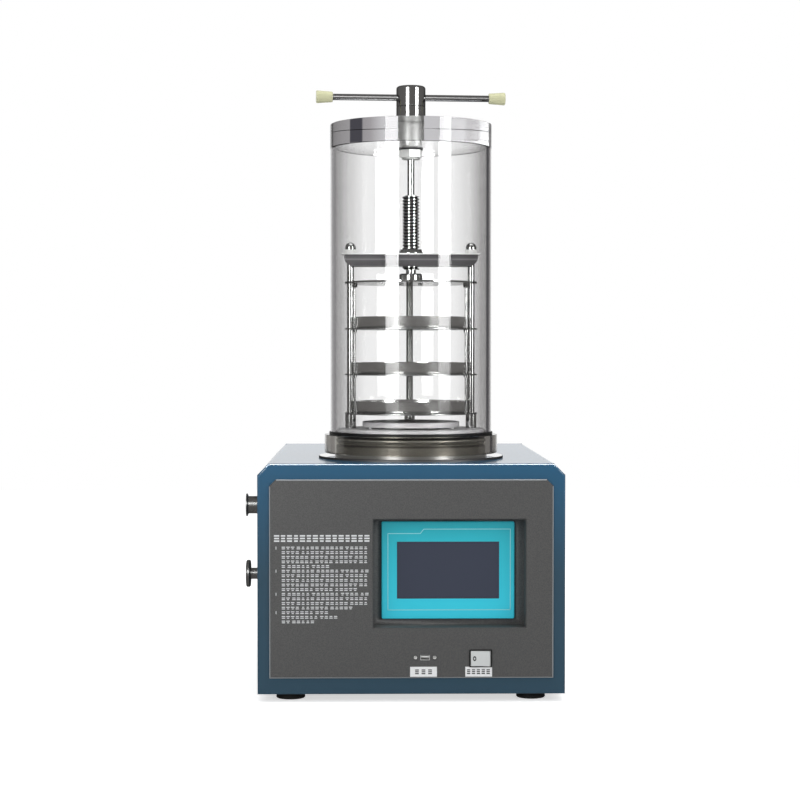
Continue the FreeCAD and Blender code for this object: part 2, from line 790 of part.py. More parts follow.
def power_inlet():
    """Three-blade appliance inlet, pushed in from outside, with no cord."""
    z = foot_height + inlet_height
    mouth = back + inlet_flange_thick
    flange = plate_xz(inlet_flange_width, inlet_flange_tall, inlet_x, z, back, mouth, inlet_corner)
    body = plate_xz(inlet_width, inlet_tall, inlet_x, z, mouth - inlet_depth, back)
    socket = plate_xz(inlet_socket_width, inlet_socket_tall, inlet_x, z, mouth - inlet_socket_depth, mouth)
    inlet = flange.fuse(body).removeSplitter().cut(socket)
    floor = mouth - inlet_socket_depth
    blades = [(-inlet_blade_spread, -inlet_blade_drop), (0, inlet_blade_rise),
              (inlet_blade_spread, -inlet_blade_drop)]
    return inlet.fuse([plate_xz(inlet_blade_thick, inlet_blade_tall, inlet_x + dx, z + dz,
                                floor, floor + inlet_blade_length) for dx, dz in blades])


save("vacuum_port", vacuum_port())
save("drain_port", drain_port())
save("power_inlet", power_inlet())


# ---- Cold trap, its evaporator and jacket -----------------------------------------------------


def vacuum_hole(radius):
    """The vacuum tube's way through the cold trap's wall and jacket, about the chamber's axis."""
    start = V(wall_x - chamber_x, port_y - chamber_y, vacuum_port_z)
    return Part.makeCylinder(radius, -start.x, start, V(1, 0, 0))


def cold_trap():
    inner = trap_radius - trap_wall
    pot = turned([(0, trap_floor), (trap_radius, trap_floor), (trap_radius, trim_top),
                  (trap_rim_radius, trim_top), (trap_rim_radius, trim_top + trap_rim_thick),
                  (inner, trim_top + trap_rim_thick), (inner, trap_floor + trap_wall),
                  (0, trap_floor + trap_wall)])
    return pot.cut([vacuum_hole(vacuum_bore_radius), drain_hole(drain_bore_radius)])


def drain_hole(radius):
    """The drain's way through the floor of the cold trap and of its jacket."""
    return disc(radius, trap_floor - jacket_wall, trap_floor + trap_wall,
                -drain_mouth_offset, port_y - chamber_y)


def evaporator_coil():
    """Two banks of tube rings round the trap, joined at the back by an upright header."""
    circle = trap_radius + coil_tube_radius
    upper = [case_top - coil_top_drop - n * coil_pitch for n in range(coil_turns)]
    lower = [trap_floor + coil_foot_rise + n * coil_pitch for n in range(coil_turns)]
    rings = [Part.makeTorus(circle, coil_tube_radius, V(0, 0, z)) for z in upper + lower]
    header = disc(coil_header_radius, min(lower), max(upper), 0, circle + coil_tube_radius)
    return header.fuse(rings)


def trap_jacket():
    """Foam jacket round the trap and its coil, with a groove for the header and holes for the pipes."""
    inner = trap_radius + 2 * coil_tube_radius + jacket_gap
    outer = inner + jacket_wall
    foam = disc(outer, trap_floor - jacket_wall, case_top - sheet)
    hollow = disc(inner, trap_floor, case_top - sheet)
    header = disc(coil_header_radius + jacket_gap, trap_floor, case_top - sheet,
                  0, trap_radius + 2 * coil_tube_radius)
    pipes = [Part.makeCylinder(pipe_radius + jacket_gap, outer, V(0, 0, z), V(0, 1, 0))
             for z in (suction_z, liquid_z)]
    return foam.cut([hollow, header, vacuum_hole(vacuum_tube_radius + port_hole_gap),
                     drain_hole(drain_tube_radius + port_hole_gap)] + pipes)


suction_z = case_top - coil_top_drop - (coil_turns + 1) * coil_pitch
liquid_z = trap_floor + coil_foot_rise + coil_pitch
save_chamber_part("cold_trap", cold_trap())
save_chamber_part("evaporator_coil", evaporator_coil())
save_chamber_part("trap_jacket", trap_jacket())


# ---- Base of the chamber ----------------------------------------------------------------------
def trim_plate():
    plate = ring(trim_radius, trap_radius + seal_gap, case_top, trim_top)
    return plate.makeChamfer(trim_bevel, edges_at_height(plate, trim_top, trim_radius))


def base_flange():
    """Turned flange that clamps the trap's rim, with a step for the clear ring and a beaded side."""
    bore = trap_radius - trap_wall
    rim = trap_rim_radius + seal_gap
    rim_top = trim_top + trap_rim_thick
    band_top = flange_step + flange_lower_band
    groove_top = band_top + flange_groove
    bead_middle = groove_top + flange_bead
    bead_top = bead_middle + flange_bead
    neck = flange_radius - flange_groove_depth
    profile = [(rim, trim_top), (flange_foot_radius, trim_top), (flange_foot_radius, flange_step),
               (flange_radius, flange_step), (flange_radius, band_top), (neck, band_top),
               (neck, groove_top), (flange_radius, bead_middle), (neck, bead_top),
               (flange_radius, flange_top - flange_groove), (flange_radius, flange_top),
               (flange_step_radius, flange_top), (flange_step_radius, gasket_top),
               (bore, gasket_top), (bore, rim_top), (rim, rim_top)]
    return turned(profile)


def post_places():
    """The three fixed posts: left, right and back."""
    return [V(-post_circle, 0, 0), V(post_circle, 0, 0), V(0, back_post_circle, 0)]


def hanger_places():
    return [V(-hanger_x, hanger_y, 0), V(hanger_x, hanger_y, 0)]


def base_plate():
    plate = ring(base_plate_radius, base_plate_hole_radius, gasket_top, base_plate_top)
    return plate.makeChamfer(base_plate_bevel, edges_at_height(plate, base_plate_top, base_plate_radius))


def trap_cover():
    """Shallow inverted pan over the trap's mouth, held clear of the base plate on low pads."""
    rim = base_plate_top + cover_gap
    top = base_plate_top + cover_height
    pan = disc(cover_radius, rim, top)
    pan = pan.makeFillet(cover_edge_radius, edges_at_height(pan, top, cover_radius))
    pan = pan.cut(disc(cover_radius - cover_wall, rim, top - cover_wall))
    pads = []
    for index in range(cover_pads):
        place = on_circle(cover_radius - cover_wall / 2 - cover_pad_radius, 90 + 360 * index / cover_pads)
        pads.append(disc(cover_pad_radius, base_plate_top, top - cover_wall, place.x, place.y))
    return pan.fuse(pads).removeSplitter()


save_chamber_part("trim_plate", trim_plate())
save_chamber_part("base_flange", base_flange())
save_chamber_part("seal_ring", ring(seal_radius, flange_radius + seal_gap, flange_step, flange_top))
save_chamber_part("gasket", ring(gasket_radius, flange_step_radius + gasket_gap, flange_top,
                                 gasket_top))
save_chamber_part("base_plate", base_plate())
save_chamber_part("trap_cover", trap_cover())


# ---- Posts, bridge and its nut ----------------------------------------------------------------
post_top = bridge_top - post_seat
nut_bore = screw_radius_crest + running_gap


def side_post(place):
    """Post with a shoulder under the bridge and a thinner end that takes the acorn nut."""
    shank = disc(post_radius, base_plate_top, post_top, place.x, place.y)
    spigot = disc(post_spigot_radius, post_top, bridge_top + acorn_skirt, place.x, place.y)
    return shank.fuse(spigot).removeSplitter()


def post_sleeve(place):
    return ring(sleeve_radius, post_radius + running_gap, base_plate_top, base_plate_top + sleeve_height,
                place.x, place.y)


def bridge():
    """Solid cross bar with rounded lower ends and a thin lip along its top."""
    y0 = -bridge_width / 2
    lip_z = bridge_top - bridge_lip
    body = block(-bridge_reach, bridge_reach, y0, -y0, bridge_foot, lip_z)
    lower_ends = [e for e in edges_at_height(body, bridge_foot) if abs(e.tangentAt(e.FirstParameter).y) > 0.9]
    body = body.makeFillet(bridge_corner, lower_ends)
    lip = block(-bridge_lip_reach, bridge_lip_reach, y0, -y0, lip_z, bridge_top)
    cuts = [disc(nut_body_radius + bridge_hole_gap, bridge_foot, bridge_top)]
    for place in post_places()[:2]:
        cuts.append(disc(post_radius + bridge_hole_gap, bridge_foot, post_top, place.x, place.y))
        cuts.append(disc(post_spigot_radius + bridge_hole_gap, post_top, bridge_top, place.x, place.y))
    return body.fuse(lip).cut(cuts)


def bridge_nut():
    """Flanged nut that the press screw turns in."""
    cone = nut_flange_radius - nut_flange_height / 3
    return turned([(nut_bore, bridge_foot), (nut_body_radius, bridge_foot), (nut_body_radius, bridge_top),
                   (nut_flange_radius, bridge_top), (nut_flange_radius, bridge_top + nut_flange_height / 4),
                   (cone, bridge_top + nut_flange_height), (nut_bore, bridge_top + nut_flange_height)])


def hexagon(flats, z0, z1, x=0.0, y=0.0):
    corner = flats / sqrt(3)
    points = [V(x, y, z0) + on_circle(corner, 60 * n) for n in range(6)]
    return Part.Face(Part.makePolygon(points + points[:1])).extrude(V(0, 0, z1 - z0))


def acorn_nut(place):
    """Domed cap nut: a hexagon skirt under a round dome, bored for the post's end."""
    foot_z = bridge_top
    dome_radius = acorn_flats / 2
    top = foot_z + acorn_height
    skirt = hexagon(acorn_flats, foot_z, foot_z + acorn_skirt, place.x, place.y)
    column = disc(dome_radius, foot_z + acorn_skirt, top - dome_radius, place.x, place.y)
    dome = Part.makeSphere(dome_radius, V(place.x, place.y, top - dome_radius))
    lower_half = disc(2 * dome_radius, foot_z - acorn_height, top - dome_radius, place.x, place.y)
    nut = skirt.fuse([column, dome.cut(lower_half)]).removeSplitter()
    return nut.cut(disc(post_spigot_radius + bridge_hole_gap, foot_z, foot_z + acorn_skirt,
                        place.x, place.y))


left_post, right_post, back_post = post_places()
save_chamber_part("side_posts", group([side_post(left_post), side_post(right_post)]))
save_chamber_part("post_back", disc(post_radius, base_plate_top, press_top + back_post_rise,
                                    back_post.x, back_post.y))
save_chamber_part("post_sleeves", group([post_sleeve(place) for place in post_places()]))
save_chamber_part("bridge", bridge())
save_chamber_part("bridge_nut", bridge_nut())
save_chamber_part("acorn_nuts", group([acorn_nut(place) for place in post_places()[:2]]))


# ---- Shelves, trays, press plate and hangers --------------------------------------------------
def shelf(top, thick, hangers_pass):
    """Round shelf that slides on the posts; the hangers pass only where they slide as well."""
    plate = disc(shelf_radius, top - thick, top)
    holes = [disc(post_radius + post_hole_gap, top - thick, top, p.x, p.y) for p in post_places()]
    if hangers_pass is not None:
        holes += [disc(hanger_radius + hangers_pass, top - thick, top, p.x, p.y)
                  for p in hanger_places()]
    return plate.cut(holes)


def shelf_tray(shelf_top):
    """Pressed round tray with leaning walls and a rounded bottom edge."""
    height = shelf_tray_height
    outside = Part.makeCone(shelf_tray_foot_radius, shelf_tray_radius, height, V(0, 0, shelf_top))
    outside = outside.makeFillet(shelf_tray_edge_radius, edges_at_height(outside, shelf_top))
    inside = Part.makeCone(shelf_tray_foot_radius - shelf_tray_wall, shelf_tray_radius - shelf_tray_wall,
                           height - shelf_tray_wall, V(0, 0, shelf_top + shelf_tray_wall))
    floor_z = shelf_top + shelf_tray_wall
    inside = inside.makeFillet(shelf_tray_edge_radius - shelf_tray_wall, edges_at_height(inside, floor_z))
    return outside.cut(inside)


def foot_cap():
    """Swivel foot bolted to the press plate: a cap over the screw's flanged end."""
    cap = disc(foot_cap_radius, press_top, press_top + foot_cap_height)
    cap = cap.makeFillet(foot_cap_edge_radius,
                         edges_at_height(cap, press_top + foot_cap_height, foot_cap_radius))
    pocket = disc(screw_head_radius_lower + swivel_gap, press_top,
                  press_top + screw_head_height + 2 * swivel_gap)
    throat = disc(screw_neck_radius + swivel_gap, press_top, press_top + foot_cap_height)
    screws = [disc(cap_screw_radius + running_gap, press_top, press_top + cap_screw_depth, x, 0)
              for x in (-cap_screw_offset, cap_screw_offset)]
    return cap.cut([pocket, throat] + screws)


def hanger_rod(place):
    """Rod that carries the upper and middle shelves, with a nut under the press plate."""
    rod = disc(hanger_radius, hanger_end, press_foot, place.x, place.y)
    nut = hexagon(2 * hanger_nut_radius, press_foot - hanger_nut_height, press_foot, place.x, place.y)
    return rod.fuse(nut).removeSplitter()


def press_plate():
    plate = shelf(press_top, press_plate_thick, None)
    return plate.cut([disc(cap_screw_radius + running_gap, press_foot, press_top, x, 0)
                      for x in (-cap_screw_offset, cap_screw_offset)])


save_chamber_part("press_plate", press_plate())
save_chamber_part("screw_foot_cap", foot_cap())
save_chamber_part("hanger_rods", group([hanger_rod(place) for place in hanger_places()]))
save_chamber_part("shelf_upper", shelf(upper_shelf_top, shelf_thick, running_gap))
save_chamber_part("shelf_middle", shelf(middle_shelf_top, shelf_thick, running_gap))
save_chamber_part("shelf_bottom", shelf(bottom_shelf_top, shelf_thick, hanger_hole_gap))
save_chamber_part("hanger_collars", group([
    ring(collar_radius, hanger_radius + running_gap, top - shelf_thick - collar_height, top - shelf_thick,
         p.x, p.y) for top in (upper_shelf_top, middle_shelf_top) for p in hanger_places()]))
save_chamber_part("tray_upper", shelf_tray(upper_shelf_top))
save_chamber_part("tray_middle", shelf_tray(middle_shelf_top))
save_chamber_part("tray_bottom", shelf_tray(bottom_shelf_top))


# ---- Press screw ------------------------------------------------------------------------------
def press_screw():
    """Hollow screw: a D-shaped bore for the rod, a neck and a flanged end in the swivel foot."""
    head_z = press_top + swivel_gap
    neck_z = head_z + screw_head_height
    bore = rod_radius + running_gap
    bore_floor = screw_foot + screw_bore_floor
    crest = screw_radius_crest
    profile = [(0, head_z), (screw_head_radius_lower, head_z), (screw_head_radius_lower, neck_z),
               (screw_neck_radius, neck_z), (screw_neck_radius, screw_foot),
               (crest - screw_bevel, screw_foot), (crest, screw_foot + screw_bevel),
               (crest, screw_top - screw_bevel), (crest - screw_bevel, screw_top),
               (screw_lip_radius, screw_top), (screw_lip_radius, screw_top + screw_lip_height),
               (bore, screw_top + screw_lip_height), (bore, bore_floor), (0, bore_floor)]
    flat_y = rod_radius - rod_flat + running_gap
    flat = block(-bore, bore, flat_y, bore + screw_bevel, bore_floor, screw_top + screw_lip_height)
    flat = flat.common(disc(bore + screw_bevel / 2, bore_floor, screw_top + screw_lip_height))
    return turned(profile).fuse(flat).removeSplitter()


save_chamber_part("press_screw", press_screw())


# ---- Clear tube, lid and gland -----------------------------------------------------------------
gland_nut_top = tube_top - gland_washer_thick
gland_nut_foot = gland_nut_top - gland_nut_height
rod_bore = rod_radius + running_gap


def lid():
    """Thick clear disc that rests on the tube, bored for the gland."""
    plate = disc(lid_radius, tube_top, lid_top)
    plate = plate.makeChamfer(lid_bevel, edges_at_height(plate, tube_top))
    plate = plate.makeChamfer(lid_top_bevel, edges_at_height(plate, lid_top))
    return plate.cut(disc(gland_radius + bridge_hole_gap, tube_top, lid_top))


def gland():
    """Turned gland: a head on the lid, a stem through it and a bore for the drive rod."""
    edge = lid_bevel
    return turned([(rod_bore, gland_nut_foot - gland_tail), (gland_radius, gland_nut_foot - gland_tail),
                   (gland_radius, lid_top), (gland_head_radius, lid_top),
                   (gland_head_radius, gland_top - edge), (gland_head_radius - edge, gland_top),
                   (rod_bore, gland_top)])


def gland_nut():
    nut = hexagon(gland_nut_flats, gland_nut_foot, gland_nut_top)
    return nut.cut(disc(gland_radius + running_gap, gland_nut_foot, gland_nut_top))


save_chamber_part("chamber_tube", ring(tube_radius, tube_bore_radius, gasket_top, tube_top))
save_chamber_part("lid", lid())
save_chamber_part("gland", gland())
save_chamber_part("gland_nut", gland_nut())
save_chamber_part("gland_washer", ring(gland_washer_radius, gland_radius + running_gap,
                                       gland_nut_top, tube_top))


# ---- Drive rod and tee handle -------------------------------------------------------------------
def drive_rod():
    """Rod from the handle's hub down into the hollow screw, with one flat at the back."""
    rod = disc(rod_radius, rod_end, hub_foot + hub_rod_depth)
    flat_y = rod_radius - rod_flat
    flat_top = screw_top + screw_lip_height + press_rise
    return rod.cut(block(-rod_radius, rod_radius, flat_y, rod_radius, rod_end, flat_top))


def handle_hub():
    """Round hub with a socket for the rod and a cross bore for the bar."""
    hub = disc(gland_head_radius, hub_foot, hub_top)
    hub = hub.makeFillet(hub_edge_radius, edges_at_height(hub, hub_top, gland_head_radius))
    start = V(-2 * gland_head_radius, 0, bar_z)
    cross = Part.makeCylinder(bar_radius, 4 * gland_head_radius, start, V(1, 0, 0))
    cross.rotate(V(0, 0, bar_z), V(0, 0, 1), bar_yaw)
    return hub.cut([disc(rod_radius, hub_foot, hub_foot + hub_rod_depth), cross])


def handle_bar():
    half = knob_start + knob_socket
    bar = Part.makeCylinder(bar_radius, 2 * half, V(-half, 0, bar_z), V(1, 0, 0))
    bar.rotate(V(0, 0, bar_z), V(0, 0, 1), bar_yaw)
    return bar


def knob(side):
    """Tapered knob that widens outwards, bored for the end of the bar."""
    end = knob_start + knob_length
    edge = knob_edge_radius
    shape = turned_along_x([(side * knob_start, 0), (side * knob_start, knob_inner_radius - edge / 2),
                            (side * (knob_start + edge / 2), knob_inner_radius),
                            (side * (end - edge), knob_outer_radius), (side * end, knob_outer_radius - edge),
                            (side * end, 0)], 0, bar_z)
    bore = Part.makeCylinder(bar_radius, knob_socket, V(side * knob_start, 0, bar_z), V(side, 0, 0))
    shape = shape.cut(bore)
    shape.rotate(V(0, 0, bar_z), V(0, 0, 1), bar_yaw)
    return shape


save_chamber_part("drive_rod", drive_rod())
save_chamber_part("handle_hub", handle_hub())
save_chamber_part("handle_bar", handle_bar())
save_chamber_part("handle_knobs", group([knob(-1), knob(1)]))


# ---- Condenser and its fan ----------------------------------------------------------------------
fan_z = foot_height + fan_height
fan_rear = back - sheet - fan_panel_gap
fan_front = fan_rear - fan_blade_depth
condenser_rear = fan_front - plenum_depth
condenser_front = condenser_rear - coil_block_depth
condenser_y = (condenser_front + condenser_rear) / 2
shroud_half = shroud_size / 2
row_heights = [fan_z + (n - (coil_rows - 1) / 2) * coil_row_pitch for n in range(coil_rows)]


def condenser():
    """Finned block: upright fins between two end plates, with one tube that winds up through them."""
    pitch = shroud_size / (fin_count + 1)
    plates = [plate_xz(fin_thick, shroud_size, fan_x - shroud_half + pitch * (n + 1), fan_z,
                       condenser_front, condenser_rear) for n in range(fin_count)]
    for side in (-1, 1):
        x = fan_x + side * (shroud_half - shroud_thick / 2)
        plates.append(plate_xz(shroud_thick, shroud_size, x, fan_z, condenser_front, condenser_rear))
    reach = shroud_half + shroud_thick
    tubes = [Part.makeCylinder(coil_row_radius, 2 * reach, V(fan_x - reach, condenser_y, z), V(1, 0, 0))
             for z in row_heights]
    bends = []
    for n in range(coil_rows - 1):
        side = 1 if n % 2 else -1
        start = V(fan_x + side * reach, condenser_y, row_heights[n])
        middle = start + V(0, 0, coil_row_pitch / 2)
        section = Part.Face(Part.Wire(Part.makeCircle(coil_row_radius, start, V(1, 0, 0))))
        bends.append(section.revolve(middle, V(0, -side, 0), 180))
    serpentine = tubes[0].fuse(tubes[1:] + bends).removeSplitter()
    return serpentine.fuse(plates)


def along_y(radius, y0, y1):
    return Part.makeCylinder(radius, y1 - y0, V(fan_x, y0, fan_z), V(0, 1, 0))


def fan_shroud():
    """Plenum behind the condenser: four walls, a plate with a round mouth and two crossed arms."""
    box = plate_xz(shroud_size, shroud_size, fan_x, fan_z, condenser_rear, fan_front)
    inside = plate_xz(shroud_size - 2 * shroud_thick, shroud_size - 2 * shroud_thick, fan_x, fan_z,
                      condenser_rear, fan_front - shroud_thick)
    mouth = fan_radius + fan_tip_gap
    collar = along_y(mouth + shroud_thick, fan_front, fan_rear)
    shell = box.fuse(collar).cut([inside, along_y(mouth, condenser_rear, fan_rear)])
    arms = []
    for turn in (45, 135):
        arm = block(-mouth - shroud_thick, mouth + shroud_thick,
                    fan_front - 2 * shroud_thick, fan_front - shroud_thick,
                    -shroud_arm / 2, shroud_arm / 2)
        arm.rotate(V(0, 0, 0), V(0, 1, 0), turn)
        arm.translate(V(fan_x, 0, fan_z))
        arms.append(arm)
    seat = along_y(motor_radius, fan_front - 2 * shroud_thick, fan_front - shroud_thick)
    shaft_hole = along_y(fan_shaft_radius + seal_gap, condenser_rear, fan_rear)
    return shell.fuse(arms + [seat]).cut(shaft_hole)


motor_rear = fan_front - 2 * shroud_thick
motor_front = motor_rear - motor_depth


def fan_motor():
    body = along_y(motor_radius, motor_front, motor_rear)
    front_edge = [e for e in body.Edges if abs(e.BoundBox.YMax - motor_front) < 1e-4]
    body = body.makeFillet(edge_radius, front_edge)
    return body.cut(along_y(fan_shaft_radius + running_gap, motor_front + motor_depth / 2, motor_rear))


def fan():
    """Six twisted blades on a hub, with the shaft that turns in the motor."""
    hub = along_y(fan_hub_radius, fan_front, fan_rear)
    shaft = along_y(fan_shaft_radius, motor_front + motor_depth / 2, fan_front)
    blades = []
    chord = fan_blade_depth / sin(radians(fan_blade_pitch)) - fan_blade_thick
    limits = along_y(fan_radius, fan_front, fan_rear)
    for n in range(fan_blades):
        blade = block(-chord / 2, chord / 2, -fan_blade_thick / 2, fan_blade_thick / 2,
                      fan_hub_radius / 2, fan_radius)
        blade.rotate(V(0, 0, 0), V(0, 0, 1), fan_blade_pitch)
        blade.rotate(V(0, 0, 0), V(0, 1, 0), 360 * n / fan_blades)
        blade.translate(V(fan_x, (fan_front + fan_rear) / 2, fan_z))
        blades.append(blade.common(limits))
    return hub.fuse(blades + [shaft]).removeSplitter()


save("condenser", condenser())
save("fan_shroud", fan_shroud())
save("fan_motor", fan_motor())
save("fan", fan())


# ---- Compressor and refrigerant lines -------------------------------------------------------------
compressor_foot = tray_top + grommet_height
shell_foot = compressor_foot + compressor_plate_thick
shell_top = shell_foot + compressor_body_height
dome_top = shell_top + compressor_dome


def compressor():
    """Welded steel shell of two cups on a foot plate."""
    seam_z = (shell_foot + shell_top) / 2
    outer = compressor_radius
    seam = outer + compressor_seam
    shell = disc(outer, shell_foot, dome_top, compressor_x, compressor_y)
    shell = shell.makeFillet(compressor_dome, edges_at_height(shell, dome_top))
    band = disc(seam, seam_z, seam_z + compressor_seam, compressor_x, compressor_y)
    half_w = compressor_plate_width / 2
    half_d = compressor_plate_depth / 2
    plate = block(compressor_x - half_w, compressor_x + half_w, compressor_y - half_d, compressor_y + half_d,
                  compressor_foot, shell_foot)
    return shell.fuse([band, plate]).removeSplitter()


def grommet(sx, sy):
    return disc(grommet_radius, tray_top, compressor_foot,
                compressor_x + sx * (compressor_plate_width / 2 - grommet_inset),
                compressor_y + sy * (compressor_plate_depth / 2 - grommet_inset))


def pipe_run(points):
    """A round pipe along straight legs, with a bend at each corner."""
    edges = []
    last = points[0]
    for before, corner, after in zip(points, points[1:], points[2:]):
        back_dir = (before - corner).normalize()
        on_dir = (after - corner).normalize()
        bend_in = corner + back_dir * pipe_bend
        bend_out = corner + on_dir * pipe_bend
        middle = corner + (back_dir + on_dir) * (pipe_bend * (1 - 1 / sqrt(2)))
        edges += [Part.makeLine(last, bend_in), Part.Arc(bend_in, middle, bend_out).toShape()]
        last = bend_out
    edges.append(Part.makeLine(last, points[-1]))
    section = Part.Wire(Part.makeCircle(pipe_radius, points[0], points[1] - points[0]))
    return Part.Wire(edges).makePipeShell([section], True, False)


def suction_pipe():
    x = compressor_x + compressor_radius / 2
    start = V(chamber_x, chamber_y + trap_radius + 2 * coil_tube_radius + coil_header_radius, suction_z)
    return pipe_run([start, V(chamber_x, compressor_y, suction_z), V(x, compressor_y, suction_z),
                     V(x, compressor_y, dome_top)])


def discharge_pipe():
    x = compressor_x - compressor_radius / 2
    z = row_heights[-1]
    side_x = fan_x - shroud_half - 2 * pipe_bend
    return pipe_run([V(x, compressor_y, dome_top), V(x, compressor_y, z), V(side_x, compressor_y, z),
                     V(side_x, condenser_y, z), V(fan_x - shroud_half - shroud_thick, condenser_y, z)])


def liquid_line():
    """Line from the condenser's lowest row through a filter drier to the trap's coil."""
    x = fan_x + shroud_half + 2 * pipe_bend
    z = row_heights[0]
    turn_y = pipe_bend / 2
    start = V(fan_x + shroud_half + shroud_thick, condenser_y, z)
    end = V(chamber_x, chamber_y + trap_radius + 2 * coil_tube_radius + coil_header_radius, liquid_z)
    line = pipe_run([start, V(x, condenser_y, z), V(x, turn_y, z), V(x, turn_y, liquid_z),
                     V(chamber_x, turn_y, liquid_z), end])
    drier_y = (condenser_front + turn_y) / 2
    drier = Part.makeCylinder(drier_radius, drier_length, V(x, drier_y - drier_length / 2, z), V(0, 1, 0))
    ends = [e for e in drier.Edges if abs(e.BoundBox.YLength) < 1e-4]
    return line.fuse(drier.makeChamfer(pipe_radius, ends)).removeSplitter()


save("compressor", compressor())
save("compressor_grommets", group([grommet(sx, sy) for sx in (-1, 1) for sy in (-1, 1)]))
save("suction_pipe", suction_pipe())
save("discharge_pipe", discharge_pipe())
save("liquid_line", liquid_line())


# ---- Control board ----------------------------------------------------------------------------------
board_z = tray_top + standoff_height


def control_board():
    """Circuit board with its transformer, a row of relays and a heat sink, as plain blocks."""
    x0 = board_x - board_width / 2
    y0 = board_y - board_depth / 2
    top = board_z + board_thick
    board = block(x0, x0 + board_width, y0, y0 + board_depth, board_z, top)
    near_x = x0 + board_part_gap
    near_y = y0 + board_part_gap
    parts = [block(near_x, near_x + transformer_size, near_y, near_y + transformer_size,
                   top, top + transformer_height)]
    relay_start = near_y + transformer_size + board_part_gap
    for n in range(relay_count):
        start = relay_start + n * relay_pitch
        parts.append(block(near_x, near_x + relay_width, start, start + relay_depth,
                           top, top + relay_height))
    for n in range(heat_sink_fins):
        x = x0 + board_width - board_part_gap - n * heat_sink_fin_pitch
        parts.append(block(x - heat_sink_fin_thick, x, near_y, near_y + heat_sink_length,
                           top, top + heat_sink_height))
    return board.fuse(parts).removeSplitter()


save("control_board", control_board())
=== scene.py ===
"""Looks of a benchtop freeze dryer: a blue cabinet with a grey panel, and a clear chamber with a tee handle.

Lengths are in millimetres and are turned to Blender's metres as each mesh is made.
"""

from math import atan2, cos, pi, radians, sin

import bpy
from mathutils import Matrix, Vector


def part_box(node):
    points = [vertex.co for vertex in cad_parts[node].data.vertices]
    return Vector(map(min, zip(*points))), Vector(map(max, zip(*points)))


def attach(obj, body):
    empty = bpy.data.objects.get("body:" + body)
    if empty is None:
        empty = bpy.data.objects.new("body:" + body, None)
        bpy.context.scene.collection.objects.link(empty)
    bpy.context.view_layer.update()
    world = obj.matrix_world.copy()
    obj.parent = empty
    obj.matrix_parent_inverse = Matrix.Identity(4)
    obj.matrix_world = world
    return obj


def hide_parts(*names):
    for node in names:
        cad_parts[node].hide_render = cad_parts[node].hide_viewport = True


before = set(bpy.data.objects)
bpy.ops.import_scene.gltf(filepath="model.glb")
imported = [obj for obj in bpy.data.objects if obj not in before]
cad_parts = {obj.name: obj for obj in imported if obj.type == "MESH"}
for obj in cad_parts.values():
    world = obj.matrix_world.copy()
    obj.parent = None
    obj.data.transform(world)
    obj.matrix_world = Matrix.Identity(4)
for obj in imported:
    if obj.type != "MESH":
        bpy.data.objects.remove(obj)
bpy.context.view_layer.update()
mm = 0.001


# Camera: a long lens at the height of the chamber's middle, a little left of the machine, turned back
# towards it and tilted slightly down.
camera_place = Vector((-52.25, -3130.5, 526.0))
tilt_down, turn_right = 1.5, 0.95
camera_data = bpy.data.cameras.new("camera")
camera_data.lens = 85.5
camera_data.clip_end = 50.0
camera = bpy.data.objects.new("camera", camera_data)
camera.location = camera_place * mm
camera.rotation_euler = (radians(90 - tilt_down), 0, radians(-turn_right))
bpy.context.scene.collection.objects.link(camera)
bpy.context.scene.camera = camera
bpy.context.scene.view_settings.view_transform = "Standard"


def linear(hex_colour):
    """An sRGB hex colour as linear red, green, blue and alpha."""
    parts = [int(hex_colour[i:i + 2], 16) / 255 for i in (1, 3, 5)]
    return [p / 12.92 if p <= 0.04045 else ((p + 0.055) / 1.055) ** 2.4 for p in parts] + [1.0]


def add_node(tree, kind, inputs=None, **settings):
    """Add one node. A setting names a property or a socket. Inputs give a socket, by its name or number,
    the output that feeds it or a plain value."""
    node = tree.nodes.new(kind)
    for name, value in settings.items():
        socket = next((s for s in node.inputs if s.name.replace(" ", "_") == name and s.enabled), None)
        if socket is not None:
            socket.default_value = value
        else:
            setattr(node, name, value)
    for name, source in (inputs or {}).items():
        socket = node.inputs[name] if isinstance(name, int) else next(
            s for s in node.inputs if s.name == name and s.enabled)
        if isinstance(source, bpy.types.NodeSocket):
            tree.links.new(source, socket)
        else:
            socket.default_value = source
    return node


# Studio: a pale floor in a room that is dark in front and has a white backdrop behind the machine, so
# that steel and acrylic show dark and bright bands. What is seen directly or through clear walls is
# white all round.
white = linear("#FFFFFF")
room_grey = linear("#6A6867")
mixed = 2  # a Mix node's output for colours
world = bpy.data.worlds.new("studio")
world.use_nodes = True
sky = world.node_tree
sky.nodes.clear()
path = add_node(sky, "ShaderNodeLightPath")
direct = add_node(sky, "ShaderNodeMath", {0: path.outputs["Is Camera Ray"],
                                          1: path.outputs["Is Transmission Ray"]}, operation="MAXIMUM")
bounced = add_node(sky, "ShaderNodeMath", {0: path.outputs["Glossy Depth"], 1: 0.5}, operation="GREATER_THAN")
in_lid = add_node(sky, "ShaderNodeMath", {0: path.outputs["Transmission Depth"], 1: 2.0, 2: 0.5},
                  operation="COMPARE")
way = add_node(sky, "ShaderNodeTexCoord")
way_parts = add_node(sky, "ShaderNodeSeparateXYZ", {0: way.outputs["Generated"]})
backdrop = add_node(sky, "ShaderNodeMapRange", {"Value": way_parts.outputs["Y"]},
                    interpolation_type="SMOOTHSTEP", From_Min=0.86, From_Max=0.96)
room_colour = add_node(sky, "ShaderNodeMix", {"Factor": backdrop.outputs[0], "A": room_grey, "B": white},
                       data_type="RGBA")
room = add_node(sky, "ShaderNodeBackground", {"Color": room_colour.outputs[mixed]})


